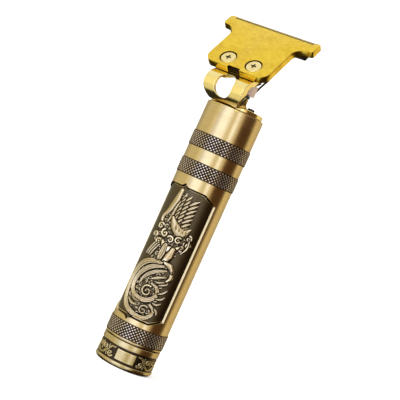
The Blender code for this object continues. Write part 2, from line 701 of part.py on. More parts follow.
def neck_half_width(point):
    """How far the bracket reaches sideways at a point of its side view."""
    rise = min(1.0, max(0.0, (point.z - DISC_BOTTOM) / 5.0))
    width = ARM_ROOT_HALF_WIDTH + (ARM_HALF_WIDTH - ARM_ROOT_HALF_WIDTH) * math.sin(rise * math.pi / 2.0)
    if point.z <= DISC_TOP and abs(point.y) < DISC_RADIUS:
        width = min(width, math.sqrt(DISC_RADIUS ** 2 - point.y ** 2))
    return width


def pocket_profile():
    """Side view of the open space behind the arms' front strips."""
    low = DISC_TOP + POCKET_FLOOR
    high = HEEL.z - POCKET_TOP
    front = [Vector((0, p.y + ARM_PLATE, p.z)) for p in neck_profile()[:9] if low < p.z < high]
    first, last = front[0], front[-1]
    edge = [Vector((0, first.y + (first.z - low), low))] + front + [Vector((0, last.y, high))]
    return edge + [Vector((0, 0, high)), Vector((0, 0, low))]


def make_neck_bracket():
    """Cast bracket: base disc, two arms around a window, and the blade's platform."""
    sections = []
    profile = neck_profile()
    for side in (-1, 1):
        sections.append([(side * neck_half_width(p), p.y, p.z) for p in profile])
    bracket = loft("neck_bracket", sections, PALE_GOLD)
    space = pocket_profile()
    sections = []
    for side in (-1, 1):
        sections.append([(side * (neck_half_width(p) - ARM_FLANGE), p.y, p.z) for p in space])
    combine(bracket, loft("arm_pocket", sections, None), "DIFFERENCE")
    window_low = DISC_TOP + 0.2
    window_high = HEEL.z - WINDOW_TOP_MARGIN
    middle = (window_low + window_high) / 2.0
    half_height = (window_high - window_low) / 2.0
    outline = rounded_slot(WINDOW_HALF_WIDTH, half_height, WINDOW_HALF_WIDTH * 0.9, 5)
    window = prism("neck_window", outline, 0.0, 16.0, None)
    window.location = (0.0, (HEEL.y + 11.5) * MM, middle * MM)
    window.rotation_euler = (math.radians(90.0), 0.0, 0.0)
    combine(bracket, window, "DIFFERENCE")
    step = BORE_RADIUS - BARREL_FIT
    outline = [(DISC_HOLE_RADIUS, CAN_TOP + GAP), (step, CAN_TOP + GAP), (step, DISC_BOTTOM)]
    outline += [(DISC_RADIUS, DISC_BOTTOM), (DISC_RADIUS, DISC_TOP - 0.2), (DISC_RADIUS - 0.2, DISC_TOP)]
    outline += [(DISC_HOLE_RADIUS, DISC_TOP)]
    combine(bracket, turned("neck_disc", outline, None), "UNION")
    for side in (-1, 1):
        hole = cylinder_outline(NECK_SHANK_RADIUS + GAP, CAN_TOP - 1.0, DISC_TOP + 1.0)
        place = (side * NECK_SCREW_X, NECK_SCREW_Y)
        combine(bracket, turned("disc_hole", hole, None, sides=16, centre=place), "DIFFERENCE")
    return bracket


def make_neck_screws():
    """Two small screws through the disc into the motor's front."""
    head_radius, head_height = SCREW_HEAD
    low = DISC_TOP + GAP
    for name, side in (("neck_screw_left", -1), ("neck_screw_right", 1)):
        outline = [(0.0, CAN_TOP - CAN_WALL - 1.5), (NECK_SHANK_RADIUS, CAN_TOP - CAN_WALL - 1.5)]
        outline += [(NECK_SHANK_RADIUS, low), (head_radius, low), (head_radius, low + head_height * 0.5)]
        outline += [(head_radius * 0.7, low + head_height), (0.0, low + head_height)]
        place = (side * NECK_SCREW_X, NECK_SCREW_Y)
        turned(name, outline, BLACK_STEEL, sides=16, centre=place)


def add_blade_frame():
    """The empty that carries every piece given in the blade's own directions."""
    frame = bpy.data.objects.new("blade_frame", None)
    frame.location = HEEL * MM
    frame.rotation_euler = (math.radians(90.0 - BLADE_TILT), 0.0, 0.0)
    bpy.context.scene.collection.objects.link(frame)
    return frame


def comb_edge(tip, half_teeth, edge_x):
    """Points along a toothed edge from right to left."""
    points = [(edge_x, tip)]
    for tooth in range(half_teeth, -half_teeth, -1):
        middle = (tooth - 0.5) * TOOTH_PITCH
        points += [(middle + TOOTH_GAP / 2.0, tip), (middle + TOOTH_GAP / 2.0, tip - TOOTH_DEPTH)]
        points += [(middle - TOOTH_GAP / 2.0, tip - TOOTH_DEPTH), (middle - TOOTH_GAP / 2.0, tip)]
    points.append((-edge_x, tip))
    return points


def fixed_blade_outline():
    """T-shaped outline with a notched heel, flared shoulders and a comb."""
    notch_half, notch_depth = HEEL_NOTCH
    side = BLADE_HALF_WIDTH
    lower = [(notch_half, notch_depth), (notch_half, 0.0)]
    lower += arc_points((side - HEEL_CORNER, HEEL_CORNER), (HEEL_CORNER, HEEL_CORNER), -90.0, 0.0, 5)
    flare_radii = (WING_HALF_WIDTH - 1.0 - side, WING_BOTTOM - FLARE_BOTTOM)
    lower += arc_points((side + flare_radii[0], FLARE_BOTTOM), flare_radii, 180.0, 90.0, 5)
    lower += [(WING_HALF_WIDTH, WING_BOTTOM + 0.9), (WING_HALF_WIDTH, BLADE_LENGTH - 0.5)]
    comb = comb_edge(BLADE_LENGTH, TEETH // 2, WING_HALF_WIDTH - 0.5)
    return lower + comb + [(-x, y) for x, y in reversed(lower)]


def slope_front(item, start, drop_per_length, front):
    """Bend the front of a plate down past a line, towards its teeth."""
    mesh_data = bmesh.new()
    mesh_data.from_mesh(item.data)
    everything = mesh_data.verts[:] + mesh_data.edges[:] + mesh_data.faces[:]
    bmesh.ops.bisect_plane(mesh_data, geom=everything, plane_co=(0, start * MM, 0), plane_no=(0, 1, 0))
    for vert in mesh_data.verts:
        if vert.co.y > start * MM and vert.co.z > (front - 0.01) * MM:
            vert.co.z -= (vert.co.y - start * MM) * drop_per_length
    mesh_data.to_mesh(item.data)
    mesh_data.free()


def make_fixed_blade(frame):
    """Wide outer blade; its front slopes down to the tips of the teeth."""
    blade = prism("fixed_blade", fixed_blade_outline(), -BLADE_THICKNESS, 0.0, BRIGHT_GOLD, frame)
    drop = (BLADE_THICKNESS - TIP_THICKNESS) / TIP_SLOPE_LENGTH
    slope_front(blade, BLADE_LENGTH - TIP_SLOPE_LENGTH, drop, 0.0)
    bore_radius, bore_depth = COUNTERBORE
    for side in (-1, 1):
        place = (side * BLADE_SCREW_X, BLADE_SCREW_U)
        head = cylinder_outline(bore_radius, -bore_depth, 1.0)
        combine(blade, turned("head_bore", head, None, sides=32, centre=place, parent=frame), "DIFFERENCE")
        hole = cylinder_outline(BLADE_SHANK_RADIUS + GAP, -BLADE_THICKNESS - 1.0, -bore_depth + 0.5)
        combine(blade, turned("shank_bore", hole, None, sides=16, centre=place, parent=frame), "DIFFERENCE")


def make_platform_holes(bracket, frame):
    """Holes for the blade's screws through the bracket's platform."""
    top = -(BLADE_THICKNESS + GAP)
    for side in (-1, 1):
        place = (side * BLADE_SCREW_X, BLADE_SCREW_U)
        hole = cylinder_outline(BLADE_SHANK_RADIUS + GAP, top - PLATFORM_THICKNESS - 2.0, top + 1.0)
        cutter = turned("platform_hole", hole, None, sides=16, centre=place, parent=frame)
        combine(bracket, cutter, "DIFFERENCE")


def make_blade_fasteners(frame):
    """Cross-recess screws in the face and the nuts behind the platform."""
    head_radius, head_height = BLADE_SCREW_HEAD
    seat = -COUNTERBORE[1] + GAP
    nut_top = -(BLADE_THICKNESS + GAP + PLATFORM_THICKNESS + GAP)
    nut_bottom = nut_top - NUT_HEIGHT
    width, length, depth = CROSS_RECESS
    top = seat + head_height
    for label, side in (("left", -1), ("right", 1)):
        place = (side * BLADE_SCREW_X, BLADE_SCREW_U)
        outline = [(0.0, nut_bottom - SHANK_END), (BLADE_SHANK_RADIUS, nut_bottom - SHANK_END)]
        outline += [(BLADE_SHANK_RADIUS, seat), (head_radius, seat), (head_radius, top - 0.25)]
        outline += [(head_radius - 0.25, top), (0.0, top)]
        name = "blade_screw_" + label
        screw = turned(name, outline, BRIGHT_GOLD, sides=28, centre=place, parent=frame)
        for half_x, half_y in ((width / 2.0, length / 2.0), (length / 2.0, width / 2.0)):
            slot = [(half_x, half_y), (-half_x, half_y), (-half_x, -half_y), (half_x, -half_y)]
            cutter = prism("cross_slot", shifted(slot, *place), top - depth, top + 1.0, None, frame)
            combine(screw, cutter, "DIFFERENCE")
        corner = NUT_ACROSS_FLATS / 2.0 / math.cos(math.pi / 6.0)
        hexagon = shifted(arc_points((0, 0), (corner, corner), 0.0, 300.0, 5), *place)
        nut = prism("blade_nut_" + label, hexagon, nut_bottom, nut_top, STEEL, frame)
        bore = cylinder_outline(BLADE_SHANK_RADIUS + GAP, nut_bottom - 1.0, nut_top + 1.0)
        combine(nut, turned("nut_bore", bore, None, sides=16, centre=place, parent=frame), "DIFFERENCE")


def make_moving_blade(frame):
    """Inner blade that slides sideways behind the fixed one."""
    front = -(BLADE_THICKNESS + GAP)
    tip = BLADE_LENGTH - MOVER_SHORTER
    inner = MOVER_HALF_WIDTH
    lower = [(inner - 1.0, MOVER_START), (inner, MOVER_START + 1.0), (inner, MOVER_WING_BOTTOM - 2.5)]
    lower += [(inner + 3.0, MOVER_WING_BOTTOM), (MOVER_WING_HALF_WIDTH, MOVER_WING_BOTTOM)]
    teeth = int((MOVER_WING_HALF_WIDTH - 0.8) / TOOTH_PITCH)
    outline = lower + comb_edge(tip, teeth, MOVER_WING_HALF_WIDTH) + [(-x, y) for x, y in reversed(lower)]
    prism("moving_blade", outline, front - MOVER_THICKNESS, front, BRIGHT_GOLD, frame)


def fork_size():
    """Half sizes of the fork's opening: the pin's whole circle plus the blade's stroke."""
    reach = STROKE + PIN_RADIUS + PIN_CLEARANCE
    return reach + STROKE, reach


def make_drive_yoke():
    """Plastic arm on the moving blade, with a fork around the eccentric's pin."""
    opening_x, opening_y = fork_size()
    back = -(BLADE_THICKNESS + GAP + MOVER_THICKNESS + GAP)
    foot_back = back - YOKE_FOOT_THICKNESS
    reach = opening_y + YOKE_WALL
    fork_top = FORK_BOTTOM + YOKE_FORK_DEPTH + YOKE_WALL
    fork_outline = rounded_slot(opening_x + YOKE_WALL, reach, 1.2, 3)
    yoke = prism("drive_yoke", fork_outline, FORK_BOTTOM, fork_top, CREAM_PLASTIC)
    corners = [Vector((0, -reach, fork_top - 1.0)), face_point(YOKE_FOOT_START, back)]
    corners += [face_point(YOKE_FOOT_END - 1.0, back), face_point(YOKE_FOOT_END - 1.0, foot_back)]
    corners += [Vector((0, reach, fork_top + 4.0)), Vector((0, reach, fork_top - 1.0))]
    sides = [[(side * YOKE_ARM_HALF_WIDTH, p.y, p.z) for p in corners] for side in (-1, 1)]
    combine(yoke, loft("yoke_arm", sides, None), "UNION")
    foot = [face_point(YOKE_FOOT_START, back), face_point(YOKE_FOOT_END, back)]
    foot += [face_point(YOKE_FOOT_END, foot_back), face_point(YOKE_FOOT_START, foot_back)]
    sides = [[(side * YOKE_FOOT_HALF_WIDTH, p.y, p.z) for p in foot] for side in (-1, 1)]
    combine(yoke, loft("yoke_foot", sides, None), "UNION")
    opening = rounded_slot(opening_x, opening_y, 0.8, 3)
    cutter = prism("fork_opening", opening, FORK_BOTTOM - 1.0, FORK_BOTTOM + YOKE_FORK_DEPTH, None)
    combine(yoke, cutter, "DIFFERENCE")


def make_tension_spring():
    """Bent wire behind the blade: two legs from its heel corners to a bend behind the yoke."""
    reach = fork_size()[1] + YOKE_WALL
    wire_gap = TENSION_WIRE + GAP
    bend_y = reach + wire_gap + TENSION_BEND_DEPTH
    bend_z = FORK_BOTTOM + 1.0
    end = face_point(TENSION_END_U, -(BLADE_THICKNESS + wire_gap))
    inwards, backwards, upwards = TENSION_START_PULL
    controls = [(TENSION_END_X, end.y, end.z), (TENSION_END_X - inwards, end.y + backwards, end.z + upwards)]
    clear_x = fork_size()[0] + YOKE_WALL + STROKE + wire_gap
    inwards, backwards = TENSION_BEND_PULL
    controls.append((clear_x - inwards, bend_y + backwards, FORK_BOTTOM + YOKE_FORK_DEPTH + TENSION_RISE))
    controls.append((TENSION_BEND_X, bend_y, bend_z))
    right = bezier(controls, 10)
    left = [Vector((-p.x, p.y, p.z)) for p in reversed(right)]
    bend = [Vector((side * TENSION_BEND_X / 2.0, bend_y + 0.5, bend_z)) for side in (1, -1)]
    wire("tension_spring", right + bend + left, TENSION_WIRE, STEEL)


def main():
    clear_scene()
    make_barrel()
    make_emblem_plate()
    make_base_cap()
    make_end_plate()
    make_power_button()
    make_button_spring()
    make_tactile_switch()
    make_charging_socket()
    make_underside_electrics()
    make_carrier()
    make_cell()
    make_motor()
    make_rotor()
    make_eccentric()
    bracket = make_neck_bracket()
    make_neck_screws()
    frame = add_blade_frame()
    make_fixed_blade(frame)
    make_platform_holes(bracket, frame)
    make_blade_fasteners(frame)
    make_moving_blade(frame)
    make_drive_yoke()
    make_tension_spring()


main()
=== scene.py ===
"""Fine meshes, finishes and lights for a slim metal hair clipper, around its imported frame.

Sizes are in millimetres unless a comment says otherwise, and are turned into
metres when a mesh is made.  The barrel's axis is Z and the blade looks
towards -Y.  Angles round the barrel are in degrees to the right of -Y.
"""

import math

import bmesh
import bpy
import numpy as np
from mathutils import Matrix, Vector


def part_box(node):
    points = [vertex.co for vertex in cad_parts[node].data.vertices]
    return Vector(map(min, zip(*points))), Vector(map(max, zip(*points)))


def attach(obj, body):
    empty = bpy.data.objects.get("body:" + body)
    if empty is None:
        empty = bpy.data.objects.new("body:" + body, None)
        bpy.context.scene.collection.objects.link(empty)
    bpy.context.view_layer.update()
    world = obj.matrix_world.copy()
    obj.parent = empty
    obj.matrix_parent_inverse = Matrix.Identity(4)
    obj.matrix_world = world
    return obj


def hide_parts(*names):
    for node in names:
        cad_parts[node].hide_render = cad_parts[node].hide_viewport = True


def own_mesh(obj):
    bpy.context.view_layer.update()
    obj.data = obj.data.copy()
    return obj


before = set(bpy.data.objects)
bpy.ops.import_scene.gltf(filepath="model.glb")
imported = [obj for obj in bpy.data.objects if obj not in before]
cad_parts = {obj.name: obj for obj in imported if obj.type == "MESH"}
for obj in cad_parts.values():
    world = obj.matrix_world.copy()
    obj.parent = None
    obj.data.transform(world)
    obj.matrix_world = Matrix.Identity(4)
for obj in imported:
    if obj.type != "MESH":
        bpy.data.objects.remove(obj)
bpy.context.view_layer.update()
MM = 0.001


def box_mm(node):
    """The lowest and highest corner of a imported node, in millimetres."""
    low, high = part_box(node)
    return low / MM, high / MM


# Barrel
KNURL_PROUD = 0.3
BARREL_LOW = box_mm("barrel")[0].z
BARREL_TOP = box_mm("barrel")[1].z
BODY_RADIUS = box_mm("barrel")[1].x - KNURL_PROUD
BORE_RADIUS = BODY_RADIUS - 1.9
EDGE = 0.25
KNURL_WIDTH = 6.8
KNURL_LOWS = (BARREL_LOW + 0.8, BARREL_TOP - 32.1, BARREL_TOP - 20.1)
KNURL_COLUMNS = 51
KNURL_ROWS = 8
KNURL_PITCH = 1.46
COLLAR = (0.12, 0.2)          # width, height of the thin line along a knurl's edge
NOTCH_ANGLE = 31.8
NOTCH_RADIUS = 1.0

# Panel recess and its plate
PANEL_DEPTH = 1.25
PANEL_HALF = 71.0
PANEL_FLARE = 3.0
PANEL_BEVEL = 0.7
PANEL_LOW = KNURL_LOWS[0] + KNURL_WIDTH + 2.7
PANEL_HIGH = KNURL_LOWS[1] - 5.4
PLATE_BACK = BODY_RADIUS - PANEL_DEPTH + 0.2
PLATE_FACE = PLATE_BACK + 0.3
PLATE_HALF = 69.5
RELIEF_HEIGHT = 0.85
ROUTE_STEP = 0.12

# Cap
CAP_TOP = 11.0
CAP_BAND = (2.25, 8.3)
CAP_BAND_RADIUS = BODY_RADIUS - 0.4
CARTOUCHE_ANGLE = 31.0

# Neck and blade
DISC_BOTTOM = BARREL_TOP + 0.3
DISC_TOP = DISC_BOTTOM + 1.7
DISC_RADIUS = BODY_RADIUS - 1.0
TILT = math.radians(36.5)
FACE_UP = Vector((0.0, math.sin(TILT), math.cos(TILT)))
FACE_OUT = Vector((0.0, -math.cos(TILT), math.sin(TILT)))
HEEL = Vector((0.0, -(BODY_RADIUS + 3.1), DISC_TOP + 12.6))
BLADE_THICKNESS = 3.0
BLADE_LENGTH = 29.9
HEEL_NOTCH = (3.0, 1.0)       # half width, depth
TOOTH_PITCH = 1.05
TOOTH_GAP = 0.6
TOOTH_DEPTH = 2.2
TIP_SLOPE = (2.2, 0.6)        # length, drop
SCREW_PLACE = (6.45, 5.3)
SCREW_HOLE = 1.6
COUNTERBORE = 3.7
NECK_SCREW_PLACE = (6.2, 0.5)
ROUND = 128

# Button and its return spring
BUTTON_X = -5.4
SPRING_RADIUS = 1.9
SPRING_WIRE = 0.2
SPRING_TURNS = 3

# Camera and stage, in metres and degrees
CAMERA_AZIMUTH = 31.64
CAMERA_DISTANCE = 0.4609
CAMERA_HEIGHT = 0.084
CAMERA_PITCH = 0.98
CAMERA_YAW = 0.18
CAMERA_ROLL = 24.14
CAMERA_LENS = 99.4
STAGE_RADIUS = 3.0
FLOOR_GAP = 0.00003


# ---------------------------------------------------------------- node trees


class Value:
    """One socket of a node tree, with arithmetic that adds Math nodes."""

    def __init__(self, graph, socket):
        self.graph = graph
        self.socket = socket

    def math(self, operation, other=None, swapped=False):
        operands = [self] if other is None else [self, other]
        if swapped:
            operands.reverse()
        sockets = dict(enumerate(operands))
        return self.graph.node("ShaderNodeMath", {"operation": operation}, sockets)

    def __add__(self, other):
        return self.math("ADD", other)

    def __sub__(self, other):
        return self.math("SUBTRACT", other)

    def __rsub__(self, other):
        return self.math("SUBTRACT", other, swapped=True)

    def __mul__(self, other):
        return self.math("MULTIPLY", other)

    def __truediv__(self, other):
        return self.math("DIVIDE", other)

    def __mod__(self, other):
        return self.math("MODULO", other)

    __radd__ = __add__
    __rmul__ = __mul__

    def spread(self, low, high, to_low=0.0, to_high=1.0):
        """A smooth, clamped step from one range to another."""
        settings = {"interpolation_type": "SMOOTHSTEP"}
        sockets = {0: self, 1: low, 2: high, 3: to_low, 4: to_high}
        return self.graph.node("ShaderNodeMapRange", settings, sockets)


class Graph:
    """A node tree that is filled from Python expressions."""

    def __init__(self, tree):
        self.tree = tree

    def node(self, kind, settings=None, inputs=None, output=0):
        made = self.tree.nodes.new(kind)
        for name, setting in (settings or {}).items():
            setattr(made, name, setting)
        for key, value in (inputs or {}).items():
            self.join(value, made.inputs[key])
        return Value(self, made.outputs[output]) if made.outputs else None

    def join(self, value, socket):
        if isinstance(value, Value):
            self.tree.links.new(value.socket, socket)
        else:
            socket.default_value = value

    def place(self, stretch=(1.0, 1.0, 1.0)):
        """Object coordinates, stretched."""
        where = self.node("ShaderNodeTexCoord", output="Object")
        return self.node("ShaderNodeMapping", None, {"Vector": where, "Scale": stretch})

    def noise(self, place, scale, detail=3.0, roughness=0.5):
        sockets = {"Vector": place, "Scale": scale, "Detail": detail, "Roughness": roughness}
        return self.node("ShaderNodeTexNoise", None, sockets)

    def mix(self, share, first, second):
        """A blend of two colours."""
        ends = [value if isinstance(value, Value) else (*value, 1.0) for value in (first, second)]
        return self.node("ShaderNodeMix", {"data_type": "RGBA"}, {0: share, 6: ends[0], 7: ends[1]}, 2)


class Finish(Graph):
    """A material on one Principled shader."""

    def __init__(self, name, metallic=1.0, **constants):
        self.material = bpy.data.materials.new(name)
        self.material.use_nodes = True
        super().__init__(self.material.node_tree)
        self.shader = self.tree.nodes["Principled BSDF"]
        self.feed("Metallic", metallic)
        for socket, value in constants.items():
            self.feed(socket.replace("_", " "), value)

    def feed(self, socket, value):
        self.join(value, self.shader.inputs[socket])

    def bump(self, height, distance, strength=1.0):
        sockets = {"Strength": strength, "Distance": distance, "Height": height}
        self.feed("Normal", self.node("ShaderNodeBump", None, sockets, "Normal"))


def lathe_marks(finish):
    """Fine lines round the axis, and soft tarnish."""
    lines = finish.noise(finish.place((60.0, 60.0, 2600.0)), 1.0, 4.0, 0.6)
    return lines, finish.noise(finish.place(), 210.0, 5.0, 0.62).spread(0.35, 0.75)


def turned_metal(name, base, shade, roughness):
    """Metal finished on a lathe."""
    finish = Finish(name)
    lines, tarnish = lathe_marks(finish)
    finish.feed("Base Color", finish.mix(tarnish * 0.35 + lines.spread(0.3, 0.7) * 0.35, base, shade))
    finish.feed("Roughness", roughness + lines * 0.12 + tarnish * 0.06)
    finish.bump(lines, 0.00002, 0.35)
    return finish.material


def barrel_brass():
    """Antique brass turned on a lathe; dark bronze under the three bands of knurling."""
    finish = Finish("antique_brass")
    lines, tarnish = lathe_marks(finish)
    along = finish.node("ShaderNodeSeparateXYZ", None, {0: finish.place()}, 2)
    knurled = 0.0
    for low in KNURL_LOWS:
        start, end = (low + COLLAR[0]) * MM, (low + KNURL_WIDTH - COLLAR[0]) * MM
        knurled = knurled + along.spread(start, start + 0.00004) * along.spread(end, end - 0.00004)
    worn = tarnish * 0.3 + lines.spread(0.3, 0.7) * 0.4
    metal = finish.mix(worn, (0.68, 0.535, 0.275), (0.58, 0.43, 0.20))
    finish.feed("Base Color", finish.mix(knurled, metal, (0.09, 0.06, 0.035)))
    finish.feed("Roughness", 0.17 + lines * 0.1 + tarnish * 0.05 + knurled * 0.25)
    finish.bump(lines, 0.00002, 0.35)
    return finish.material


def knurl_metal():
    """Dark bronze in the grooves, rubbed bright on the tips."""
    finish = Finish("knurl_bronze")
    flat = finish.node("ShaderNodeVectorMath", {"operation": "MULTIPLY"},
                       {0: finish.place(), 1: (1.0, 1.0, 0.0)})
    radius = finish.node("ShaderNodeVectorMath", {"operation": "LENGTH"}, {0: flat}, "Value")
    rubbed = radius.spread((BODY_RADIUS + 0.16) * MM, (BODY_RADIUS + 0.3) * MM)
    worn = finish.noise(finish.place(), 900.0, 3.0).spread(0.3, 0.6)
    shine = rubbed * (0.6 + worn * 0.4)
    finish.feed("Base Color", finish.mix(shine, (0.09, 0.06, 0.035), (0.80, 0.66, 0.50)))
    finish.feed("Roughness", 0.5 - rubbed * 0.22)
    return finish.material


def relief_metal(name, floor, raised, rubbed, shine=0.3):
    """Patinated ornament: dark patina on its floor, painted shade in its creases, rubbed bright on its crests."""
    finish = Finish(name)
    height = finish.node("ShaderNodeAttribute", {"attribute_name": "height"}, output="Fac")
    wear_and_shade = finish.node("ShaderNodeAttribute", {"attribute_name": "wear_and_shade"}, output="Fac")
    grain = finish.noise(finish.place((1.0, 1.0, 3.0)), 700.0, 4.0, 0.6)
    edge = wear_and_shade.spread(0.42, 0.2)
    hollow = finish.mix(height.spread(0.05, 0.55) * (0.6 + grain * 0.7), floor, raised)
    # Painted shade: near black where the surface dips into a crease beside a stroke.
    hollow = finish.mix(edge, hollow, (0.02, 0.014, 0.009))
    crest = wear_and_shade.spread(0.55, 0.9) * (0.5 + grain * 0.8)
    finish.feed("Base Color", finish.mix(crest, hollow, rubbed))
    finish.feed("Roughness", 0.34 + edge * 0.2 - height.spread(0.1, 0.6) * (0.34 - shine) + grain * 0.08)
    finish.bump(grain, 0.00003, 0.5)
    return finish.material


def blade_gold():
    """Mottled gold plating, with painted shade in the gaps, the bores and the notch."""
    finish = Finish("bright_gold")
    recess = finish.node("ShaderNodeAttribute", {"attribute_name": "recess"}, output="Fac")
    clouds = finish.noise(finish.place(), 160.0, 4.0, 0.6)
    mottle = finish.noise(finish.place(), 620.0, 5.0, 0.65)
    fine = finish.noise(finish.place(), 3200.0, 2.0)
    share = clouds.spread(0.35, 0.7) * 0.5 + mottle.spread(0.35, 0.7) * 0.5
    metal = finish.mix(share, (0.93, 0.67, 0.075), (0.74, 0.49, 0.04))
    # Painted shade: the recess attribute turns the walls of the gaps, the bores and the notch near black.
    finish.feed("Base Color", finish.mix(recess, metal, (0.035, 0.02, 0.01)))
    finish.feed("Roughness", 0.2 + mottle.spread(0.25, 0.8) * 0.12 + fine * 0.04 + recess * 0.3)
    finish.bump(fine + mottle * 0.8, 0.00002, 0.5)
    return finish.material


def cast_metal(name, base, shade, roughness):
    """Plated metal with faint mottling, a soft sparkle, and shadow in marked recesses."""
    finish = Finish(name)
    recess = finish.node("ShaderNodeAttribute", {"attribute_name": "recess"}, output="Fac")
    mottle = finish.noise(finish.place(), 320.0, 5.0, 0.6)
    fine = finish.noise(finish.place(), 2880.0, 2.0, 0.5)
    metal = finish.mix(mottle.spread(0.3, 0.75), base, shade)
    finish.feed("Base Color", finish.mix(recess, metal, (0.06, 0.035, 0.015)))
    finish.feed("Roughness", roughness + mottle.spread(0.25, 0.8) * 0.10 + fine * 0.04)
    finish.bump(fine + mottle * 0.8, 0.00002, 0.5)
    return finish.material


def moulded_plastic(name, base, shade, roughness=0.42):
    """Plastic with a fine moulded grain."""
    finish = Finish(name, metallic=0.0)
    cloud = finish.noise(finish.place(), 160.0, 3.0)
    grain = finish.noise(finish.place(), 5200.0, 2.0)
    finish.feed("Base Color", finish.mix(cloud.spread(0.3, 0.8), base, shade))
    finish.feed("Roughness", roughness + grain * 0.1)
    finish.bump(grain, 0.00002, 0.4)
    return finish.material


def circuit_board():
    """Green board with paler tracks under its varnish."""
    finish = Finish("circuit_green", metallic=0.0, Coat_Roughness=0.15)
    where = finish.place((420.0, 420.0, 420.0))
    tracks = finish.node("ShaderNodeTexVoronoi", {"distance": "CHEBYCHEV", "feature": "DISTANCE_TO_EDGE"},
                         {"Vector": where, "Scale": 1.0}, "Distance")
    finish.feed("Base Color", finish.mix(tracks.spread(0.08, 0.1), (0.10, 0.34, 0.12), (0.02, 0.12, 0.05)))
    finish.feed("Roughness", 0.35 + tracks.spread(0.0, 0.4) * 0.1)
    finish.feed("Coat Weight", 0.4 + tracks.spread(0.0, 0.2) * 0.3)
    return finish.material


def clear_lens():
    """Milky light pipe."""
    finish = Finish("light_pipe", metallic=0.0, Transmission_Weight=0.5, IOR=1.49)
    haze = finish.noise(finish.place(), 1500.0, 2.0)
    finish.feed("Base Color", finish.mix(haze, (0.86, 0.90, 0.92), (0.70, 0.78, 0.82)))
    finish.feed("Roughness", 0.15 + haze * 0.15)
    return finish.material


# ------------------------------------------------------------------- meshes


def face_outwards(mesh, merge=0.0):
    """Turn a mesh's faces outwards, after merging points closer than a distance in metres."""
    work = bmesh.new()
    work.from_mesh(mesh)
    if merge:
        bmesh.ops.remove_doubles(work, verts=work.verts, dist=merge)
    bmesh.ops.recalc_face_normals(work, faces=work.faces)
    work.to_mesh(mesh)
    work.free()
    return mesh


def add_piece(name, verts, faces, material):
    """An object in metres from points in millimetres, with its faces turned outwards."""
    mesh = bpy.data.meshes.new(name)
    mesh.from_pydata([tuple(float(c) * MM for c in vert) for vert in verts], [], faces)
    return link_piece(name, face_outwards(mesh, 0.0000005), material)


def link_piece(name, mesh, material, sharp=32.0):
    mesh.shade_smooth()
    mesh.set_sharp_from_angle(angle=math.radians(sharp))
    item = bpy.data.objects.new(name, mesh)
    bpy.context.scene.collection.objects.link(item)
    mesh.materials.clear()
    mesh.materials.append(material)
    return item


def settle(item, sharp=32.0):
    """Turn what an object shows into its plain mesh, with its place in the mesh."""
    bpy.context.view_layer.update()
    graph = bpy.context.evaluated_depsgraph_get()
    mesh = bpy.data.meshes.new_from_object(item.evaluated_get(graph), depsgraph=graph)
    mesh.transform(item.matrix_world)
    item.modifiers.clear()
    item.data = mesh
    item.matrix_world = Matrix.Identity(4)
    mesh.shade_smooth()
    mesh.set_sharp_from_angle(angle=math.radians(sharp))
    return item


def add_bevel(item, width, segments=3, angle=32.0):
    bevel = item.modifiers.new("edge", "BEVEL")
    bevel.width = width * MM
    bevel.segments = segments
    bevel.limit_method = "ANGLE"
    bevel.angle_limit = math.radians(angle)
    bevel.miter_outer = "MITER_ARC"
    return item


def carve(item, tool, operation="DIFFERENCE"):
    """Cut or join a shape with another, which is then gone."""
    step = item.modifiers.new("carve", "BOOLEAN")
    step.operation = operation
    step.solver = "EXACT"
    step.object = tool
    settle(item)
    bpy.data.objects.remove(tool, do_unlink=True)
    return item


def turned(name, outline, material, sides=ROUND, centre=(0.0, 0.0), matrix=None):
    """Turn a closed outline of (radius, height) about an upright axis, which its ends may touch."""
    verts, rings = [], []
    for radius, height in outline:
        count = 1 if radius == 0.0 else sides
        ring = []
        for step in range(count):
            angle = 2.0 * math.pi * step / sides
            ring.append(len(verts))
            x, y = radius * math.cos(angle), radius * math.sin(angle)
            verts.append((centre[0] + x, centre[1] + y, height))
        rings.append(ring)
    faces = []
    pairs = list(zip(rings, rings[1:]))
    if outline[0][0] > 0.0:
        pairs.append((rings[-1], rings[0]))
    for first, second in pairs:
        if len(first) == 1 and len(second) == 1:
            continue
        for step in range(sides):
            nxt = (step + 1) % sides
            corners = [first[step % len(first)], first[nxt % len(first)]]
            corners += [second[nxt % len(second)], second[step % len(second)]]
            faces.append([c for k, c in enumerate(corners) if c not in corners[:k]])
    if matrix is not None:
        verts = [matrix @ Vector(vert) for vert in verts]
    return add_piece(name, verts, faces, material)


def softened(outline, size=0.2, steps=4):
    """Round each corner of an open outline of (radius, height) points."""
    points = [Vector(p) for p in outline]
    result = [tuple(points[0])]
    for before, corner, after in zip(points, points[1:], points[2:]):
        reach = min(size, (before - corner).length * 0.45, (after - corner).length * 0.45)
        start = corner + (before - corner).normalized() * reach
        end = corner + (after - corner).normalized() * reach
        for step in range(steps + 1):
            t = step / steps
            result.append(tuple(start * (1 - t) ** 2 + corner * 2 * t * (1 - t) + end * t * t))
    return result + [tuple(points[-1])]


def prism(name, outline, low, high, material, matrix=None):
    """Extrude a flat outline of (x, y) points between two heights."""
    count = len(outline)
    verts = [(x, y, low) for x, y in outline] + [(x, y, high) for x, y in outline]
    faces = [list(range(count))[::-1], list(range(count, 2 * count))]
    faces += [[k, (k + 1) % count, (k + 1) % count + count, k + count] for k in range(count)]
    if matrix is not None:
        verts = [matrix @ Vector(vert) for vert in verts]
    return add_piece(name, verts, faces, material)


def loft(name, sections, material):
    """Join rings of points one after another and cap both ends."""
    count = len(sections[0])
    verts = [point for section in sections for point in section]
    faces = [list(range(count))[::-1], list(range(len(verts) - count, len(verts)))]
    for ring in range(len(sections) - 1):
        for k in range(count):
            a, b = ring * count + k, ring * count + (k + 1) % count
            faces.append([a, b, b + count, a + count])
    return add_piece(name, verts, faces, material)


def arc(centre, radii, start, end, steps):
    """Points on an elliptical arc; the angles are in degrees."""
    angles = [math.radians(start + (end - start) * k / steps) for k in range(steps + 1)]
    return [(centre[0] + radii[0] * math.cos(a), centre[1] + radii[1] * math.sin(a)) for a in angles]


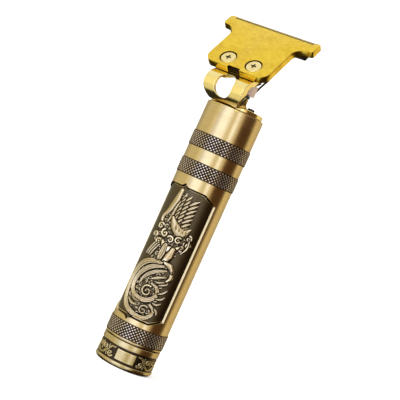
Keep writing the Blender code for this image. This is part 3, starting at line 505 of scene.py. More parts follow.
def slot_outline(half_x, half_y, radius, steps=8, centre=(0.0, 0.0)):
    """A rectangle with round corners."""
    points = []
    for quarter, (sx, sy) in enumerate(((1, 1), (-1, 1), (-1, -1), (1, -1))):
        corner = (centre[0] + sx * (half_x - radius), centre[1] + sy * (half_y - radius))
        points += arc(corner, (radius, radius), 90.0 * quarter, 90.0 * (quarter + 1), steps)
    return points


def bezier(points, steps):
    """Points along a cubic curve given by its four control points."""
    result = []
    for step in range(steps + 1):
        t = step / steps
        weights = ((1 - t) ** 3, 3 * t * (1 - t) ** 2, 3 * t * t * (1 - t), t ** 3)
        result.append(sum((Vector(p) * w for p, w in zip(points, weights)), Vector((0, 0, 0))))
    return result


def face_matrix():
    """From (sideways, up the blade's face, out of it) to the row frame."""
    matrix = Matrix.Identity(4)
    for column, axis in enumerate((Vector((1, 0, 0)), FACE_UP, FACE_OUT, HEEL)):
        for row in range(3):
            matrix[row][column] = axis[row]
    return matrix


def face_point(u, n):
    return HEEL + FACE_UP * u + FACE_OUT * n


# --------------------------------------------------------- ornament in relief


def smooth_route(points):
    """Evenly spaced points on a curve through the given ones."""
    points = np.array(points, float)
    padded = np.vstack([2 * points[0] - points[1], points, 2 * points[-1] - points[-2]])
    dense = []
    for a, b, c, d in zip(padded, padded[1:], padded[2:], padded[3:]):
        t = np.linspace(0, 1, 24, endpoint=False)[:, None]
        dense.append(0.5 * (2 * b + (c - a) * t + (2 * a - 5 * b + 4 * c - d) * t ** 2
                            + (3 * b - a - 3 * c + d) * t ** 3))
    dense = np.vstack(dense + [points[-1:]])
    length = np.concatenate([[0], np.cumsum(np.linalg.norm(np.diff(dense, axis=0), axis=1))])
    even = np.linspace(0, length[-1], max(6, int(length[-1] / ROUTE_STEP)))
    return np.stack([np.interp(even, length, dense[:, k]) for k in (0, 1)], 1), length[-1]


class Relief:
    """A height field over (along the curve, up the axis) that is carved stroke by stroke."""

    def __init__(self, across, up):
        self.x, self.z = across, up
        self.height = np.zeros_like(across)

    def stroke(self, points, width, height, style="round", moat=0.22, level=0.0):
        """Raise a stroke of varying half width; what lies under it and its moat is cut away."""
        route, length = smooth_route(points)
        share = np.linspace(0, 1, len(route))
        widths = np.interp(share, np.linspace(0, 1, len(width)), width)
        reach = max(width) + moat
        near = ((self.x > route[:, 0].min() - reach) & (self.x < route[:, 0].max() + reach)
                & (self.z > route[:, 1].min() - reach) & (self.z < route[:, 1].max() + reach))
        spots = np.stack([self.x[near], self.z[near]], 1)
        if len(spots) == 0:
            return
        away = ((spots[:, None, :] - route[None, :, :]) ** 2).sum(2)
        nearest = away.argmin(1)
        distance = np.sqrt(away[np.arange(len(spots)), nearest])
        half = widths[nearest]
        q = distance / half
        along = share[nearest] * length
        crown = np.sqrt(np.clip(1 - q ** 2, 0, 1))
        if style == "ribbon":
            shape = crown ** 0.5 * (0.74 + 0.26 * np.cos(q * math.pi * 2.6))
        elif style == "leaf":
            shape = crown * (0.62 + 0.38 * np.abs(2 * q - 1)) * (0.9 + 0.1 * np.cos(along * 9.0 + q * 3.0))
        elif style == "barbed":
            shape = crown * (0.8 + 0.2 * np.cos(along * 2 * math.pi / 0.62 + q * 2.5))
        elif style == "beads":
            shape = crown * (0.55 + 0.45 * np.abs(np.cos(along * math.pi / 0.9)))
        else:
            shape = crown
        lift = np.interp(share[nearest], [0, 0.12, 0.85, 1], [0.75, 1.0, 1.0, 0.7])
        old = self.height[near]
        old = np.where(q < 1 + moat / half, np.minimum(old, level), old)
        self.height[near] = np.where(q < 1, np.maximum(old, height * shape * lift), old)

    def scroll(self, centre, radius, turns, start, width, height, style="ribbon", hand=1):
        """A spiral that tightens towards its centre and ends in a bead."""
        steps = int(18 * turns)
        points = []
        for k in range(steps + 1):
            t = k / steps
            angle = math.radians(start) + hand * 2 * math.pi * turns * t
            reach = radius * (1 - 0.82 * t)
            points.append((centre[0] + reach * math.cos(angle), centre[1] + reach * math.sin(angle)))
        self.stroke(points, (width, width * 0.85, width * 0.55), height, style)
        end = points[-1]
        self.stroke([end, (end[0] + 0.05, end[1] + 0.05)], (width * 0.9,), height * 1.1, "round", 0.1)

    def blurred(self, reach):
        """The height field with a soft blur of so many cells."""
        field = self.height
        for axis in (0, 1, 0, 1):
            padded = np.pad(field, [(reach + 1, reach) if a == axis else (0, 0) for a in (0, 1)], mode="edge")
            total = padded.cumsum(axis)
            upper = np.take(total, range(2 * reach + 1, total.shape[axis]), axis)
            lower = np.take(total, range(total.shape[axis] - 2 * reach - 1), axis)
            field = (upper - lower) / (2 * reach + 1)
        return field

    def wear_and_shade(self, reach, full):
        """How rubbed each place is, and how deep in a crease for painted shade: crests 1, hollows 0."""
        rise = self.height - self.blurred(reach)
        return np.clip(0.5 + rise / full * 0.5, 0, 1)


def fill_with_curls(relief):
    """Low curls and leaves behind the main strokes, inside a waisted outline."""
    heights = (2.0, 8.0, 16.0, 23.0, 28.0, 33.0, 38.0, 44.0, 50.0, 55.0)
    middles = (2.0, 1.0, 1.0, 2.0, 2.6, 3.4, 3.4, 3.0, 3.0, 2.0)
    halves = (5.0, 7.6, 7.6, 5.5, 5.0, 7.0, 7.4, 6.0, 4.4, 1.6)
    for row in range(27):
        z = 2.2 + row * 1.95
        middle, half = np.interp(z, heights, middles), np.interp(z, heights, halves)
        count = max(1, int(2 * half / 2.15))
        for column in range(count):
            x = middle - half + (column + 0.5 + 0.25 * math.sin(row * 2.3)) * 2 * half / count
            turn = 137.5 * (row * 7 + column)
            if (row + column) % 3 == 0:
                lean = math.radians(turn)
                relief.stroke([(x - 0.8 * math.cos(lean), z - 0.8 * math.sin(lean)), (x, z),
                               (x + 0.9 * math.cos(lean + 0.6), z + 0.9 * math.sin(lean + 0.6))],
                              (0.15, 0.5, 0.1), 0.42, "leaf", 0.12)
            else:
                relief.scroll((x, z), 1.0, 0.9, turn, 0.3, 0.42, "round", 1 if column % 2 else -1)


def carve_plume(relief):
    """Plume of lance-shaped leaves in three columns, each from its tip down."""
    for row in range(8):
        z = 53.6 - row * 1.95
        relief.stroke([(1.0, z - 1.3), (1.9, z), (2.2, z + 1.5)], (0.35, 0.75, 0.15), 0.5, "leaf")
    for row in range(8):
        z = 53.4 - row * 1.95
        relief.stroke([(3.0, z - 1.4), (4.1, z), (4.8, z + 1.5)], (0.4, 0.85, 0.15), 0.62, "leaf")
    for row in range(8):
        z = 52.6 - row * 1.95
        relief.stroke([(5.2, z - 1.6), (6.8, z - 0.3), (8.6, z + 1.5)], (0.45, 0.9, 0.15), 0.74, "leaf")


def carve_stem(relief):
    """Long smooth stem left of the plume."""
    relief.stroke([(-0.5, 55.4), (-1.2, 50.5), (-2.6, 45.5), (-4.2, 42.6),
                   (-3.6, 39.5)], (0.9, 1.45, 1.4, 0.9, 0.5), 0.8)
    relief.stroke([(0.9, 51.0), (0.1, 47.5), (-0.2, 44.0), (-1.0, 41.2)],
                  (0.3, 0.6, 0.65, 0.3), 0.62, "barbed")


def carve_boss(relief):
    """Ribbed leaf under the plume."""
    relief.stroke([(0.8, 43.8), (3.2, 40.6), (6.8, 39.0), (9.4, 41.8)],
                  (0.7, 1.9, 2.1, 0.5), 0.85, "round")
    for k in range(4):
        x = 3.4 + 1.5 * k
        relief.stroke([(x, 42.0 - 0.2 * k), (x + 0.5, 39.4)], (0.12, 0.3, 0.1), 0.95, "round", 0.1, 0.62)


def carve_knot(relief):
    """Knot of curls."""
    curls = ((-3.2, 38.6, 1.5, 40, 1), (-3.9, 34.6, 1.4, 200, -1), (0.2, 36.6, 1.7, 120, 1), (10.3, 38.2, 1.3, 90, -1),
             (11.0, 35.2, 1.2, 10, 1), (3.4, 35.0, 1.5, 150, -1), (6.6, 35.8, 1.5, 60, 1), (9.1, 33.4, 1.4, 320, -1),
             (-1.2, 32.4, 1.5, 20, 1))
    for x, z, radius, start, hand in curls:
        relief.scroll((x, z), radius, 1.15, start, radius * 0.36, 0.66, "round", hand)
    relief.stroke([(9.6, 31.2), (11.2, 34.2), (10.9, 37.6)], (0.25, 0.5, 0.2), 0.6)


def carve_body(relief):
    """Smooth body that gathers the ribbons."""
    relief.stroke([(0.6, 33.4), (3.0, 31.0), (6.2, 31.6), (8.0, 33.4)],
                  (0.6, 1.6, 1.5, 0.5), 0.8)
    for k in range(3):
        x = -1.6 - 1.25 * k
        relief.stroke([(x + 1.6, 31.4), (x + 0.2, 28.6), (x - 0.8, 26.0)], (0.3, 0.42, 0.3), 0.55)
    relief.stroke([(2.6, 32.2), (2.5, 29.0), (2.2, 25.6)], (0.9, 1.3, 0.8), 0.72, "ribbon")
    relief.stroke([(6.2, 31.4), (5.8, 28.6), (4.6, 25.6)], (1.2, 1.7, 1.0), 0.85, "round")


def carve_ribbons(relief):
    """Two long ribbons that end in beaded spirals, and their leaves."""
    relief.stroke([(9.6, 22.6), (10.2, 20.4), (9.0, 18.6)], (0.7, 1.0, 0.5), 0.6)
    relief.stroke([(5.0, 25.6), (8.0, 24.8), (9.8, 22.8)], (0.6, 1.1, 0.7), 0.7)
    relief.stroke([(4.2, 25.0), (-1.0, 23.8), (-5.2, 20.0), (-6.9, 14.2), (-6.2, 8.2),
                   (-3.4, 3.6), (0.6, 1.6), (5.2, 1.1), (8.3, 2.9), (8.7, 5.7),
                   (6.6, 7.3)], (0.6, 1.1, 1.35, 1.3, 1.15, 1.1, 1.1, 1.0, 0.9, 0.75, 0.5), 0.8, "ribbon")
    relief.scroll((5.0, 4.2), 2.1, 1.1, 60, 0.42, 0.66, "beads", 1)
    relief.stroke([(5.6, 24.0), (0.9, 21.9), (-2.9, 17.6), (-4.1, 12.8), (-2.6, 9.6),
                   (1.0, 8.1), (5.0, 8.8), (7.4, 11.6), (6.6, 14.6), (3.8, 15.7)],
                  (0.5, 0.95, 1.1, 1.05, 0.95, 0.95, 1.0, 0.95, 0.75, 0.45), 0.82, "ribbon")
    relief.scroll((3.2, 12.0), 2.5, 1.3, 70, 0.5, 0.7, "beads", 1)
    relief.stroke([(7.2, 22.6), (3.2, 20.6), (0.0, 17.4), (-1.4, 13.6)],
                  (0.4, 0.8, 0.8, 0.3), 0.66, "ribbon")
    relief.stroke([(8.2, 20.0), (5.4, 18.8), (2.6, 17.2)], (0.4, 0.8, 0.3), 0.6, "leaf")
    relief.stroke([(8.6, 18.0), (6.4, 17.0), (4.6, 16.9)], (0.3, 0.6, 0.2), 0.5, "leaf")
    relief.stroke([(-3.9, 6.6), (-1.2, 5.0), (1.6, 5.2)], (0.3, 0.8, 0.25), 0.55, "leaf")
    relief.stroke([(-2.9, 8.2), (-0.6, 6.9), (2.2, 6.9)], (0.25, 0.6, 0.2), 0.5, "leaf")


def carve_flames(relief):
    """Flame leaves on the right."""
    flames = ((6.9, 16.0, 9.4, 17.2, 9.9, 18.4), (7.8, 12.6, 9.8, 13.6, 11.0, 15.4), (8.0, 10.4, 9.9, 10.8, 11.2, 12.4),
              (7.4, 8.4, 9.2, 8.2, 10.8, 9.4), (9.0, 6.4, 10.2, 5.6, 10.8, 4.2))
    for x0, z0, x1, z1, x2, z2 in flames:
        relief.stroke([(x0, z0), (x1, z1), (x2, z2)], (0.3, 0.62, 0.12), 0.6, "leaf")


def carve_panel(relief):
    """Own ornament: plume above, a knot of curls, and two long ribbons that end in spirals."""
    fill_with_curls(relief)
    for carve_part in (carve_plume, carve_stem, carve_boss, carve_knot,
                       carve_body, carve_ribbons, carve_flames):
        carve_part(relief)


def panel_ends(angle):
    """The recess's lower and upper ends at an angle, with cusps and sloping shoulders."""
    turn = np.abs(angle)
    shoulder = np.clip((turn - 45.0) / (PANEL_HALF - 45.0), 0, 1)
    cusp = 1.4 * np.clip(1.0 - turn / 9.0, 0, 1) ** 1.6
    return PANEL_LOW + 2.8 * shoulder - cusp, PANEL_HIGH - 2.8 * shoulder + cusp


def write_attribute(item, name, values):
    attribute = item.data.attributes.new(name, "FLOAT", "POINT")
    attribute.data.foreach_set("value", np.asarray(values, np.float32))


def make_emblem_plate(material):
    """Curved plate with the ornament raised on it."""
    columns, rows = 216, 372
    angles = np.linspace(-PLATE_HALF, PLATE_HALF, columns)
    low, high = panel_ends(angles)
    share = np.linspace(0, 1, rows)[:, None]
    z = (low + 0.3) * (1 - share) + (high - 0.3) * share
    x = np.broadcast_to(np.radians(angles) * PLATE_FACE, z.shape)
    relief = Relief(x, z - PANEL_LOW)
    carve_panel(relief)
    rim = np.minimum.reduce([share * np.ones(columns), 1 - share * np.ones(columns)]) * 56.0
    side = (PLATE_HALF - np.abs(angles)) * PLATE_FACE * math.pi / 180.0
    relief.height = relief.height * np.clip(np.minimum(rim, side) / 0.4, 0, 1)
    radius = PLATE_FACE + relief.height
    turn = np.radians(angles)
    front = np.stack([radius * np.sin(turn), -radius * np.cos(turn), z], 2).reshape(-1, 3)
    ends = (low + 0.3, high - 0.3)
    back = [np.stack([PLATE_BACK * np.sin(turn), -PLATE_BACK * np.cos(turn), end], 1) for end in ends]
    verts = np.vstack([front] + back)
    faces = []
    for r in range(rows - 1):
        for c in range(columns - 1):
            k = r * columns + c
            faces.append((k, k + 1, k + 1 + columns, k + columns))
    base, top = rows * columns, rows * columns + columns
    last = (rows - 1) * columns
    for c in range(columns - 1):
        faces.append((base + c, base + c + 1, c + 1, c))
        faces.append((last + c, last + c + 1, top + c + 1, top + c))
        faces.append((top + c, top + c + 1, base + c + 1, base + c))
    faces.append([r * columns for r in range(rows)] + [top, base])
    right = [r * columns + columns - 1 for r in range(rows)]
    faces.append(right[::-1] + [base + columns - 1, top + columns - 1])
    mesh = bpy.data.meshes.new("ornament_plate")
    mesh.from_pydata((verts * MM).tolist(), [], faces)
    item = link_piece("ornament_plate", face_outwards(mesh), material, 70.0)
    none = np.zeros(2 * columns)
    write_attribute(item, "height", np.concatenate([relief.height.ravel() / RELIEF_HEIGHT, none]))
    write_attribute(item, "wear_and_shade", np.concatenate([relief.wear_and_shade(4, 0.34).ravel(), none]))
    return item


def revolve_grid(name, radii, heights, turn, material, sharp=40.0):
    """A closed surface from rows of radius and height per column; the last row joins the first."""
    rows, columns = radii.shape
    x, y = radii * np.sin(turn), -radii * np.cos(turn)
    verts = np.stack([x, y, heights], 2).reshape(-1, 3)
    faces = []
    for r in range(rows):
        nxt = (r + 1) % rows
        for c in range(columns):
            d = (c + 1) % columns
            faces.append((r * columns + c, r * columns + d, nxt * columns + d, nxt * columns + c))
    mesh = bpy.data.meshes.new(name)
    mesh.from_pydata((verts * MM).tolist(), [], faces)
    return link_piece(name, face_outwards(mesh), material, sharp)


def barrel_angles():
    """Column angles: close together at the recess's side edges, its cusps and the notch."""
    stops = (0, 9, 45, PANEL_HALF, PANEL_HALF + PANEL_FLARE, 180)
    half = [0.0]
    for start, end, count in zip(stops, stops[1:], (13, 19, 14, 8, 54)):
        half += list(np.linspace(start, end, count))[1:]
    half = np.array(half)
    return np.concatenate([half, -half[1:-1][::-1]])


def make_barrel(material):
    """Tube with collars for three knurl bands, a bevelled panel recess and a notch in its top edge."""
    angles = barrel_angles()
    turn = np.radians(angles)
    low, high = panel_ends(np.clip(np.abs(angles), 0, PANEL_HALF))
    inside = np.clip((PANEL_HALF + PANEL_FLARE - np.abs(angles)) / PANEL_FLARE, 0, 1)
    ones = np.ones_like(angles)
    rows = []

    def ring(height, lift=0.0, depth=0.0):
        rows.append((BODY_RADIUS + lift - PANEL_DEPTH * depth * inside, height * ones))

    ring(BARREL_LOW, -EDGE)
    ring(BARREL_LOW + 0.08, -0.08)
    ring(BARREL_LOW + EDGE)

    def band(start):
        width, proud = COLLAR
        ring(start)
        ring(start + 0.04, proud)
        ring(start + width, proud)
        ring(start + width + 0.05, -0.06)
        ring(start + KNURL_WIDTH - width - 0.05, -0.06)
        ring(start + KNURL_WIDTH - width, proud)
        ring(start + KNURL_WIDTH - 0.04, proud)
        ring(start + KNURL_WIDTH)

    band(KNURL_LOWS[0])
    ring(low - PANEL_BEVEL - 0.3)
    for t in np.linspace(0, 1, 8):
        ring(low - PANEL_BEVEL * (1 - t), 0.0, math.sin(t * math.pi / 2) ** 1.3)
    for t in (0.02, 0.25, 0.5, 0.75, 0.98):
        ring(low * (1 - t) + high * t, 0.0, 1.0)
    for t in np.linspace(1, 0, 8):
        ring(high + PANEL_BEVEL * (1 - t), 0.0, math.sin(t * math.pi / 2) ** 1.3)
    ring(high + PANEL_BEVEL + 0.3)
    band(KNURL_LOWS[1])
    band(KNURL_LOWS[2])
    ring(BARREL_TOP - EDGE)
    ring(BARREL_TOP - 0.08, -0.08)
    ring(BARREL_TOP, -EDGE)
    for height, inner in ((BARREL_TOP, BORE_RADIUS), (BARREL_LOW, BORE_RADIUS)):
        rows.append((inner * ones, height * ones))
    radii = np.array([row[0] for row in rows])
    heights = np.array([row[1] for row in rows])
    barrel = revolve_grid("barrel_shell", radii, heights, turn, material)
    angle = math.radians(NOTCH_ANGLE)
    across = Matrix.Translation(Vector((0, 0, BARREL_TOP))) @ Matrix.Rotation(angle, 4, "Z") \
        @ Matrix.Translation(Vector((0, -BODY_RADIUS + 3.0, 0))) @ Matrix.Rotation(math.radians(90), 4, "X")
    outline = [(0.0, 0.0), (NOTCH_RADIUS, 0.0), (NOTCH_RADIUS, 5.0), (0.0, 5.0)]
    return carve(barrel, turned("notch", outline, material, 32, matrix=across))


def knurl_tree(material):
    """Geometry nodes that set blunt pyramids round a band in staggered rows."""
    tree = bpy.data.node_groups.new("knurl_band", "GeometryNodeTree")
    names = (("Radius", "NodeSocketFloat"), ("Start", "NodeSocketFloat"), ("Pitch", "NodeSocketFloat"),
             ("Height", "NodeSocketFloat"), ("Columns", "NodeSocketInt"), ("Rows", "NodeSocketInt"))
    for name, kind in names:
        tree.interface.new_socket(name=name, in_out="INPUT", socket_type=kind)
    tree.interface.new_socket(name="Geometry", in_out="OUTPUT", socket_type="NodeSocketGeometry")
    graph = Graph(tree)
    sizes = (graph.node("NodeGroupInput", output=name) for name, _ in names)
    radius, start, pitch, height, columns, rows = sizes
    index = graph.node("GeometryNodeInputIndex")
    row = ((index + 0.5) / columns).math("FLOOR")
    column = index - row * columns
    angle = (column + (row % 2.0) * 0.5) * (2.0 * math.pi) / columns
    line = graph.node("GeometryNodeMeshLine", None, {"Count": columns * rows})
    x, y = angle.math("COSINE") * radius, angle.math("SINE") * radius
    spot = graph.node("ShaderNodeCombineXYZ", None, {0: x, 1: y, 2: start + row * pitch * 0.5})
    points = graph.node("GeometryNodeSetPosition", None, {"Geometry": line, "Position": spot})
    ends = {"Radius Top": pitch * 0.22, "Radius Bottom": pitch * 0.49}
    tooth = graph.node("GeometryNodeMeshCone", {"fill_type": "NGON"},
                       {"Vertices": 4, "Depth": height, **ends})
    widen = (2.0 * math.pi * radius / columns) / pitch
    tooth = graph.node("GeometryNodeTransform", None,
                       {"Geometry": tooth, "Rotation": (0.0, math.radians(90.0), 0.0),
                        "Scale": graph.node("ShaderNodeCombineXYZ", None, {0: 1.0, 1: widen, 2: 1.0})})
    facing = graph.node("FunctionNodeEulerToRotation", None,
                        {0: graph.node("ShaderNodeCombineXYZ", None, {2: angle})})
    teeth = graph.node("GeometryNodeInstanceOnPoints", None,
                       {"Points": points, "Instance": tooth, "Rotation": facing})
    solid = graph.node("GeometryNodeRealizeInstances", None, {"Geometry": teeth})
    done = graph.node("GeometryNodeSetMaterial", None, {"Geometry": solid, "Material": material})
    graph.node("NodeGroupOutput", None, {0: done})
    return tree


def make_knurl(tree, name, start, material):
    """One band of knurling as a plain mesh."""
    item = link_piece(name, bpy.data.meshes.new(name), material)
    modifier = item.modifiers.new("knurl", "NODES")
    modifier.node_group = tree
    used = 0.5 * KNURL_PITCH * (KNURL_ROWS + 1)
    first = start + (KNURL_WIDTH - used) / 2 + KNURL_PITCH / 2
    sizes = {"Radius": (BODY_RADIUS - 0.07) * MM, "Start": first * MM, "Pitch": KNURL_PITCH * MM,
             "Height": 0.37 * MM, "Columns": KNURL_COLUMNS, "Rows": KNURL_ROWS}
    for socket in tree.interface.items_tree:
        if socket.in_out == "INPUT":
            modifier[socket.identifier] = sizes[socket.name]
    item.update_tag()
    return settle(item, 20.0)


def make_base_cap(material):
    """Cap with a rim, a recessed ornament band with three plain cartouches, and a threaded spigot."""
    columns = 540
    angles = np.arange(columns) * 360.0 / columns
    turn = np.radians(angles)
    rim = BODY_RADIUS + 0.1
    below = softened([(10.7, 0.0), (rim - 0.9, 0.0), (rim, 0.9), (rim, 2.0), (rim - 0.15, 2.15),
                      (CAP_BAND_RADIUS, CAP_BAND[0])], 0.35, 4)
    above = softened([(CAP_BAND_RADIUS, CAP_BAND[1]), (BODY_RADIUS - 0.1, CAP_BAND[1] + 0.12),
                      (BODY_RADIUS, CAP_BAND[1] + 0.35), (BODY_RADIUS, CAP_TOP - 0.2), (BODY_RADIUS - 0.2, CAP_TOP),
                      (10.3, CAP_TOP), (10.3, 12.3), (9.95, 12.8), (9.95, 13.4), (10.3, 13.9), (10.3, 14.4),
                      (9.95, 14.9), (9.95, 15.5), (10.3, 16.0), (10.3, 17.1), (9.9, 17.5), (9.7, 17.5), (9.7, 1.6)], 0.1, 2)
    above.append((10.7, 1.6))
    band_rows = np.linspace(CAP_BAND[0], CAP_BAND[1], 46)
    x = np.broadcast_to(turn * CAP_BAND_RADIUS, (len(band_rows), columns))
    z = np.broadcast_to(band_rows[:, None], x.shape)
    relief = Relief(x, z)
    third = 2 * math.pi * CAP_BAND_RADIUS / 3
    middle = (CAP_BAND[0] + CAP_BAND[1]) / 2
    for repeat in range(-1, 4):
        centre = math.radians(CARTOUCHE_ANGLE) * CAP_BAND_RADIUS + repeat * third
        gap = centre + third / 2
        for hand in (1, -1):
            relief.stroke([(gap - hand * 0.5, middle - 2.3), (gap + hand * 1.6, middle - 1.9),
                           (gap + hand * 3.6, middle - 0.2), (gap + hand * 5.6, middle + 1.9),
                           (gap + hand * 7.2, middle + 2.1)], (0.3, 0.55, 0.6, 0.5, 0.3), 0.34, "ribbon", 0.15)
            for x0, z0, start, way in ((2.2, 1.0, 90, 1), (5.7, -1.0, 270, -1)):
                spot = (gap + hand * x0, middle + z0)
                relief.scroll(spot, 1.35, 1.2, start + hand * 60, 0.42, 0.34, "round", way * hand)
            for x0, z0, x1, z1 in ((4.0, 0.8, 4.2, 2.4), (3.6, -1.2, 3.9, -2.5)):
                leaf = [(gap + hand * x0, middle + z0), (gap + hand * x1, middle + z1)]
                relief.stroke(leaf, (0.35, 0.15), 0.3, "leaf", 0.1)
        leaf = [(gap, middle - 1.2), (gap, middle + 0.6), (gap, middle + 2.5)]
        relief.stroke(leaf, (0.5, 0.75, 0.15), 0.36, "leaf", 0.1)
        half = (4.3, 2.35)
        inset = np.minimum(half[0] - np.abs(x - centre), half[1] - np.abs(z - middle))
        relief.height = np.where(inset > -0.45, np.clip(inset / 0.2, 0, 1) * 0.38, relief.height)
    edge = np.minimum(z - CAP_BAND[0], CAP_BAND[1] - z)
    relief.height = relief.height * np.clip(edge / 0.3, 0, 1)
    profile = lambda points, k: np.array([[point[k]] * columns for point in points])
    radii = np.vstack([profile(below, 0), CAP_BAND_RADIUS + relief.height, profile(above, 0)])
    heights = np.vstack([profile(below, 1), z, profile(above, 1)])
    item = revolve_grid("base_cap_shell", radii, heights, turn, material, 50.0)
    flat = np.vstack([np.ones((len(below), columns)), relief.height / 0.38, np.ones((len(above), columns))])
    plain = [np.full((len(part), columns), 0.7) for part in (below, above)]
    wear_and_shade = np.vstack([plain[0], relief.wear_and_shade(3, 0.16), plain[1]])
    write_attribute(item, "height", flat.ravel())
    write_attribute(item, "wear_and_shade", wear_and_shade.ravel())
    return item


# -------------------------------------------------------------- neck and blade


def comb(tip, half_teeth, edge_x):
    """Points along a toothed edge from right to left, with round-bottomed gaps and tapered teeth."""
    points = [(edge_x, tip)]
    for tooth in range(half_teeth, -half_teeth, -1):
        middle, radius = (tooth - 0.5) * TOOTH_PITCH, TOOTH_GAP / 2
        points.append((middle + TOOTH_GAP * 0.62, tip))
        points += arc((middle, tip - TOOTH_DEPTH + radius), (radius, radius), 0.0, -180.0, 4)
        points.append((middle - TOOTH_GAP * 0.62, tip))
    points.append((-edge_x, tip))
    return points


def fixed_blade_outline():
    """T-shaped outline with a notched heel, flared shoulders and a comb."""
    side, wing = 15.5, 22.8
    half, deep = HEEL_NOTCH
    right = [(half - 0.3, deep), (half, deep - 0.3), (half, 0.0)]
    right += arc((side - 4.4, 4.4), (4.4, 4.4), -90.0, 0.0, 14)
    right += arc((side + 6.3, 18.5), (6.3, 4.8), 180.0, 90.0, 14)
    right += arc((wing - 1.0, 24.3), (1.0, 1.0), -90.0, 0.0, 6)[1:]
    right += arc((wing - 0.8, BLADE_LENGTH - 0.8), (0.8, 0.8), 0.0, 90.0, 5)
    return right + comb(BLADE_LENGTH, 19, wing - 0.9) + [(-x, y) for x, y in reversed(right)]


def slope_front(item, start, drop):
    """Bend the front of a plate down past a line, towards its teeth."""
    work = bmesh.new()
    work.from_mesh(item.data)
    everything = work.verts[:] + work.edges[:] + work.faces[:]
    bmesh.ops.bisect_plane(work, geom=everything, plane_co=(0, start * MM, 0), plane_no=(0, 1, 0))
    for vert in work.verts:
        if vert.co.y > start * MM and vert.co.z > -0.00001:
            vert.co.z -= (vert.co.y - start * MM) * drop
    work.to_mesh(item.data)
    work.free()


def make_fixed_blade(material):
    """Wide outer blade, sloped towards the tips, with counterbores for its screws."""
    blade = prism("comb_blade", fixed_blade_outline(), -BLADE_THICKNESS, 0.0, material)
    slope_front(blade, BLADE_LENGTH - TIP_SLOPE[0], TIP_SLOPE[1] / TIP_SLOPE[0])
    for side in (-1, 1):
        place = (side * SCREW_PLACE[0], SCREW_PLACE[1])
        for radius, low, high in ((COUNTERBORE, -1.6, 1.0), (SCREW_HOLE, -4.0, -1.0)):
            outline = [(0.0, low), (radius, low), (radius, high), (0.0, high)]
            carve(blade, turned("bore", outline, material, 64, place))
    add_bevel(blade, 0.1, 2, 34.0)
    settle(blade)
    mark_shaded_recesses(blade)
    blade.data.transform(scaled(face_matrix()))
    return blade


def mark_shaded_recesses(blade):
    """Give the walls between teeth, the bores and the heel notch the value 1, face by face, for painted shade."""
    marks = []
    for face in blade.data.polygons:
        x, u, n = (value / MM for value in face.center)
        upright = abs(face.normal.z)
        away = min(math.hypot(x - side * SCREW_PLACE[0], u - SCREW_PLACE[1]) for side in (-1, 1))
        bore = away < COUNTERBORE + 0.02 and n < -0.12
        gap = u > BLADE_LENGTH - TOOTH_DEPTH and abs(x) < 20.3
        gap = gap and upright < 0.4 and abs(face.normal.y) < 0.95
        notch = abs(x) < HEEL_NOTCH[0] + 0.1 and u < HEEL_NOTCH[1] + 0.2
        notch = notch and n > -BLADE_THICKNESS + 0.1 and upright < 0.6
        marks.append(1.0 if bore or gap or notch else 0.0)
    mark_faces(blade, marks)


def mark_faces(item, marks):
    attribute = item.data.attributes.new("recess", "FLOAT", "FACE")
    attribute.data.foreach_set("value", np.array(marks, np.float32))


def scaled(matrix):
    """The same placing for a mesh that is already in metres."""
    result = matrix.copy()
    result.translation = matrix.translation * MM
    return result


def make_moving_blade(material):
    """Inner blade that slides sideways behind the fixed one."""
    front = -(BLADE_THICKNESS + 0.3)
    right = arc((8.0, 11.6), (1.0, 1.0), -90.0, 0.0, 5) + arc((12.0, 20.1), (3.0, 2.5), 180.0, 90.0, 8)
    right += arc((18.8, 23.2), (0.6, 0.6), -90.0, 0.0, 4)
    teeth = int((19.4 - 0.8) / TOOTH_PITCH)
    tip = BLADE_LENGTH - 0.4
    outline = right + comb(tip, teeth, 19.4) + [(-x, y) for x, y in reversed(right)]
    blade = prism("cutter_blade", outline, front - 1.7, front, material)
    add_bevel(blade, 0.1, 2, 34.0)
    settle(blade)
    blade.data.transform(scaled(face_matrix()))
    return blade


def neck_profile():
    """Side view of the arms and the platform, as points in the plane x = 0."""
    seat = -(BLADE_THICKNESS + 0.3)
    under = seat - 3.0
    front_y = HEEL.y - 1.6
    front = bezier([(0, -DISC_RADIUS + 0.3, DISC_BOTTOM), (0, front_y - 1.6, DISC_TOP + 0.3),
                    (0, front_y - 1.4, HEEL.z - 4.2), face_point(-0.2, seat)], 30)
    inner_y = front_y + 3.9
    back = bezier([face_point(0.2, under), (0, inner_y - 2.3, HEEL.z - 4.4),
                   (0, inner_y - 1.3, DISC_TOP + 1.3), (0, -5.2, DISC_TOP)], 30)
    platform = [face_point(9.2, seat), face_point(9.2, under)]
    return front + platform + back + [Vector((0, back[-1].y, DISC_BOTTOM))]


def neck_half_width(point):
    """How far the bracket reaches sideways at a point of its side view."""
    rise = min(1.0, max(0.0, (point.z - DISC_BOTTOM) / 5.0))
    width = 7.0 + 2.9 * math.sin(rise * math.pi / 2.0)
    if point.z <= DISC_TOP and abs(point.y) < DISC_RADIUS:
        width = min(width, math.sqrt(DISC_RADIUS ** 2 - point.y ** 2))
    return width


def pocket_profile():
    """Side view of the open space behind the arms' front strips."""
    low, high = DISC_TOP + 0.4, HEEL.z - 4.6
    front = [Vector((0, p.y + 1.7, p.z)) for p in neck_profile()[:31] if low < p.z < high]
    edge = [Vector((0, front[0].y, low))] + front + [Vector((0, front[-1].y, high))]
    return edge + [Vector((0, 0, high)), Vector((0, 0, low))]


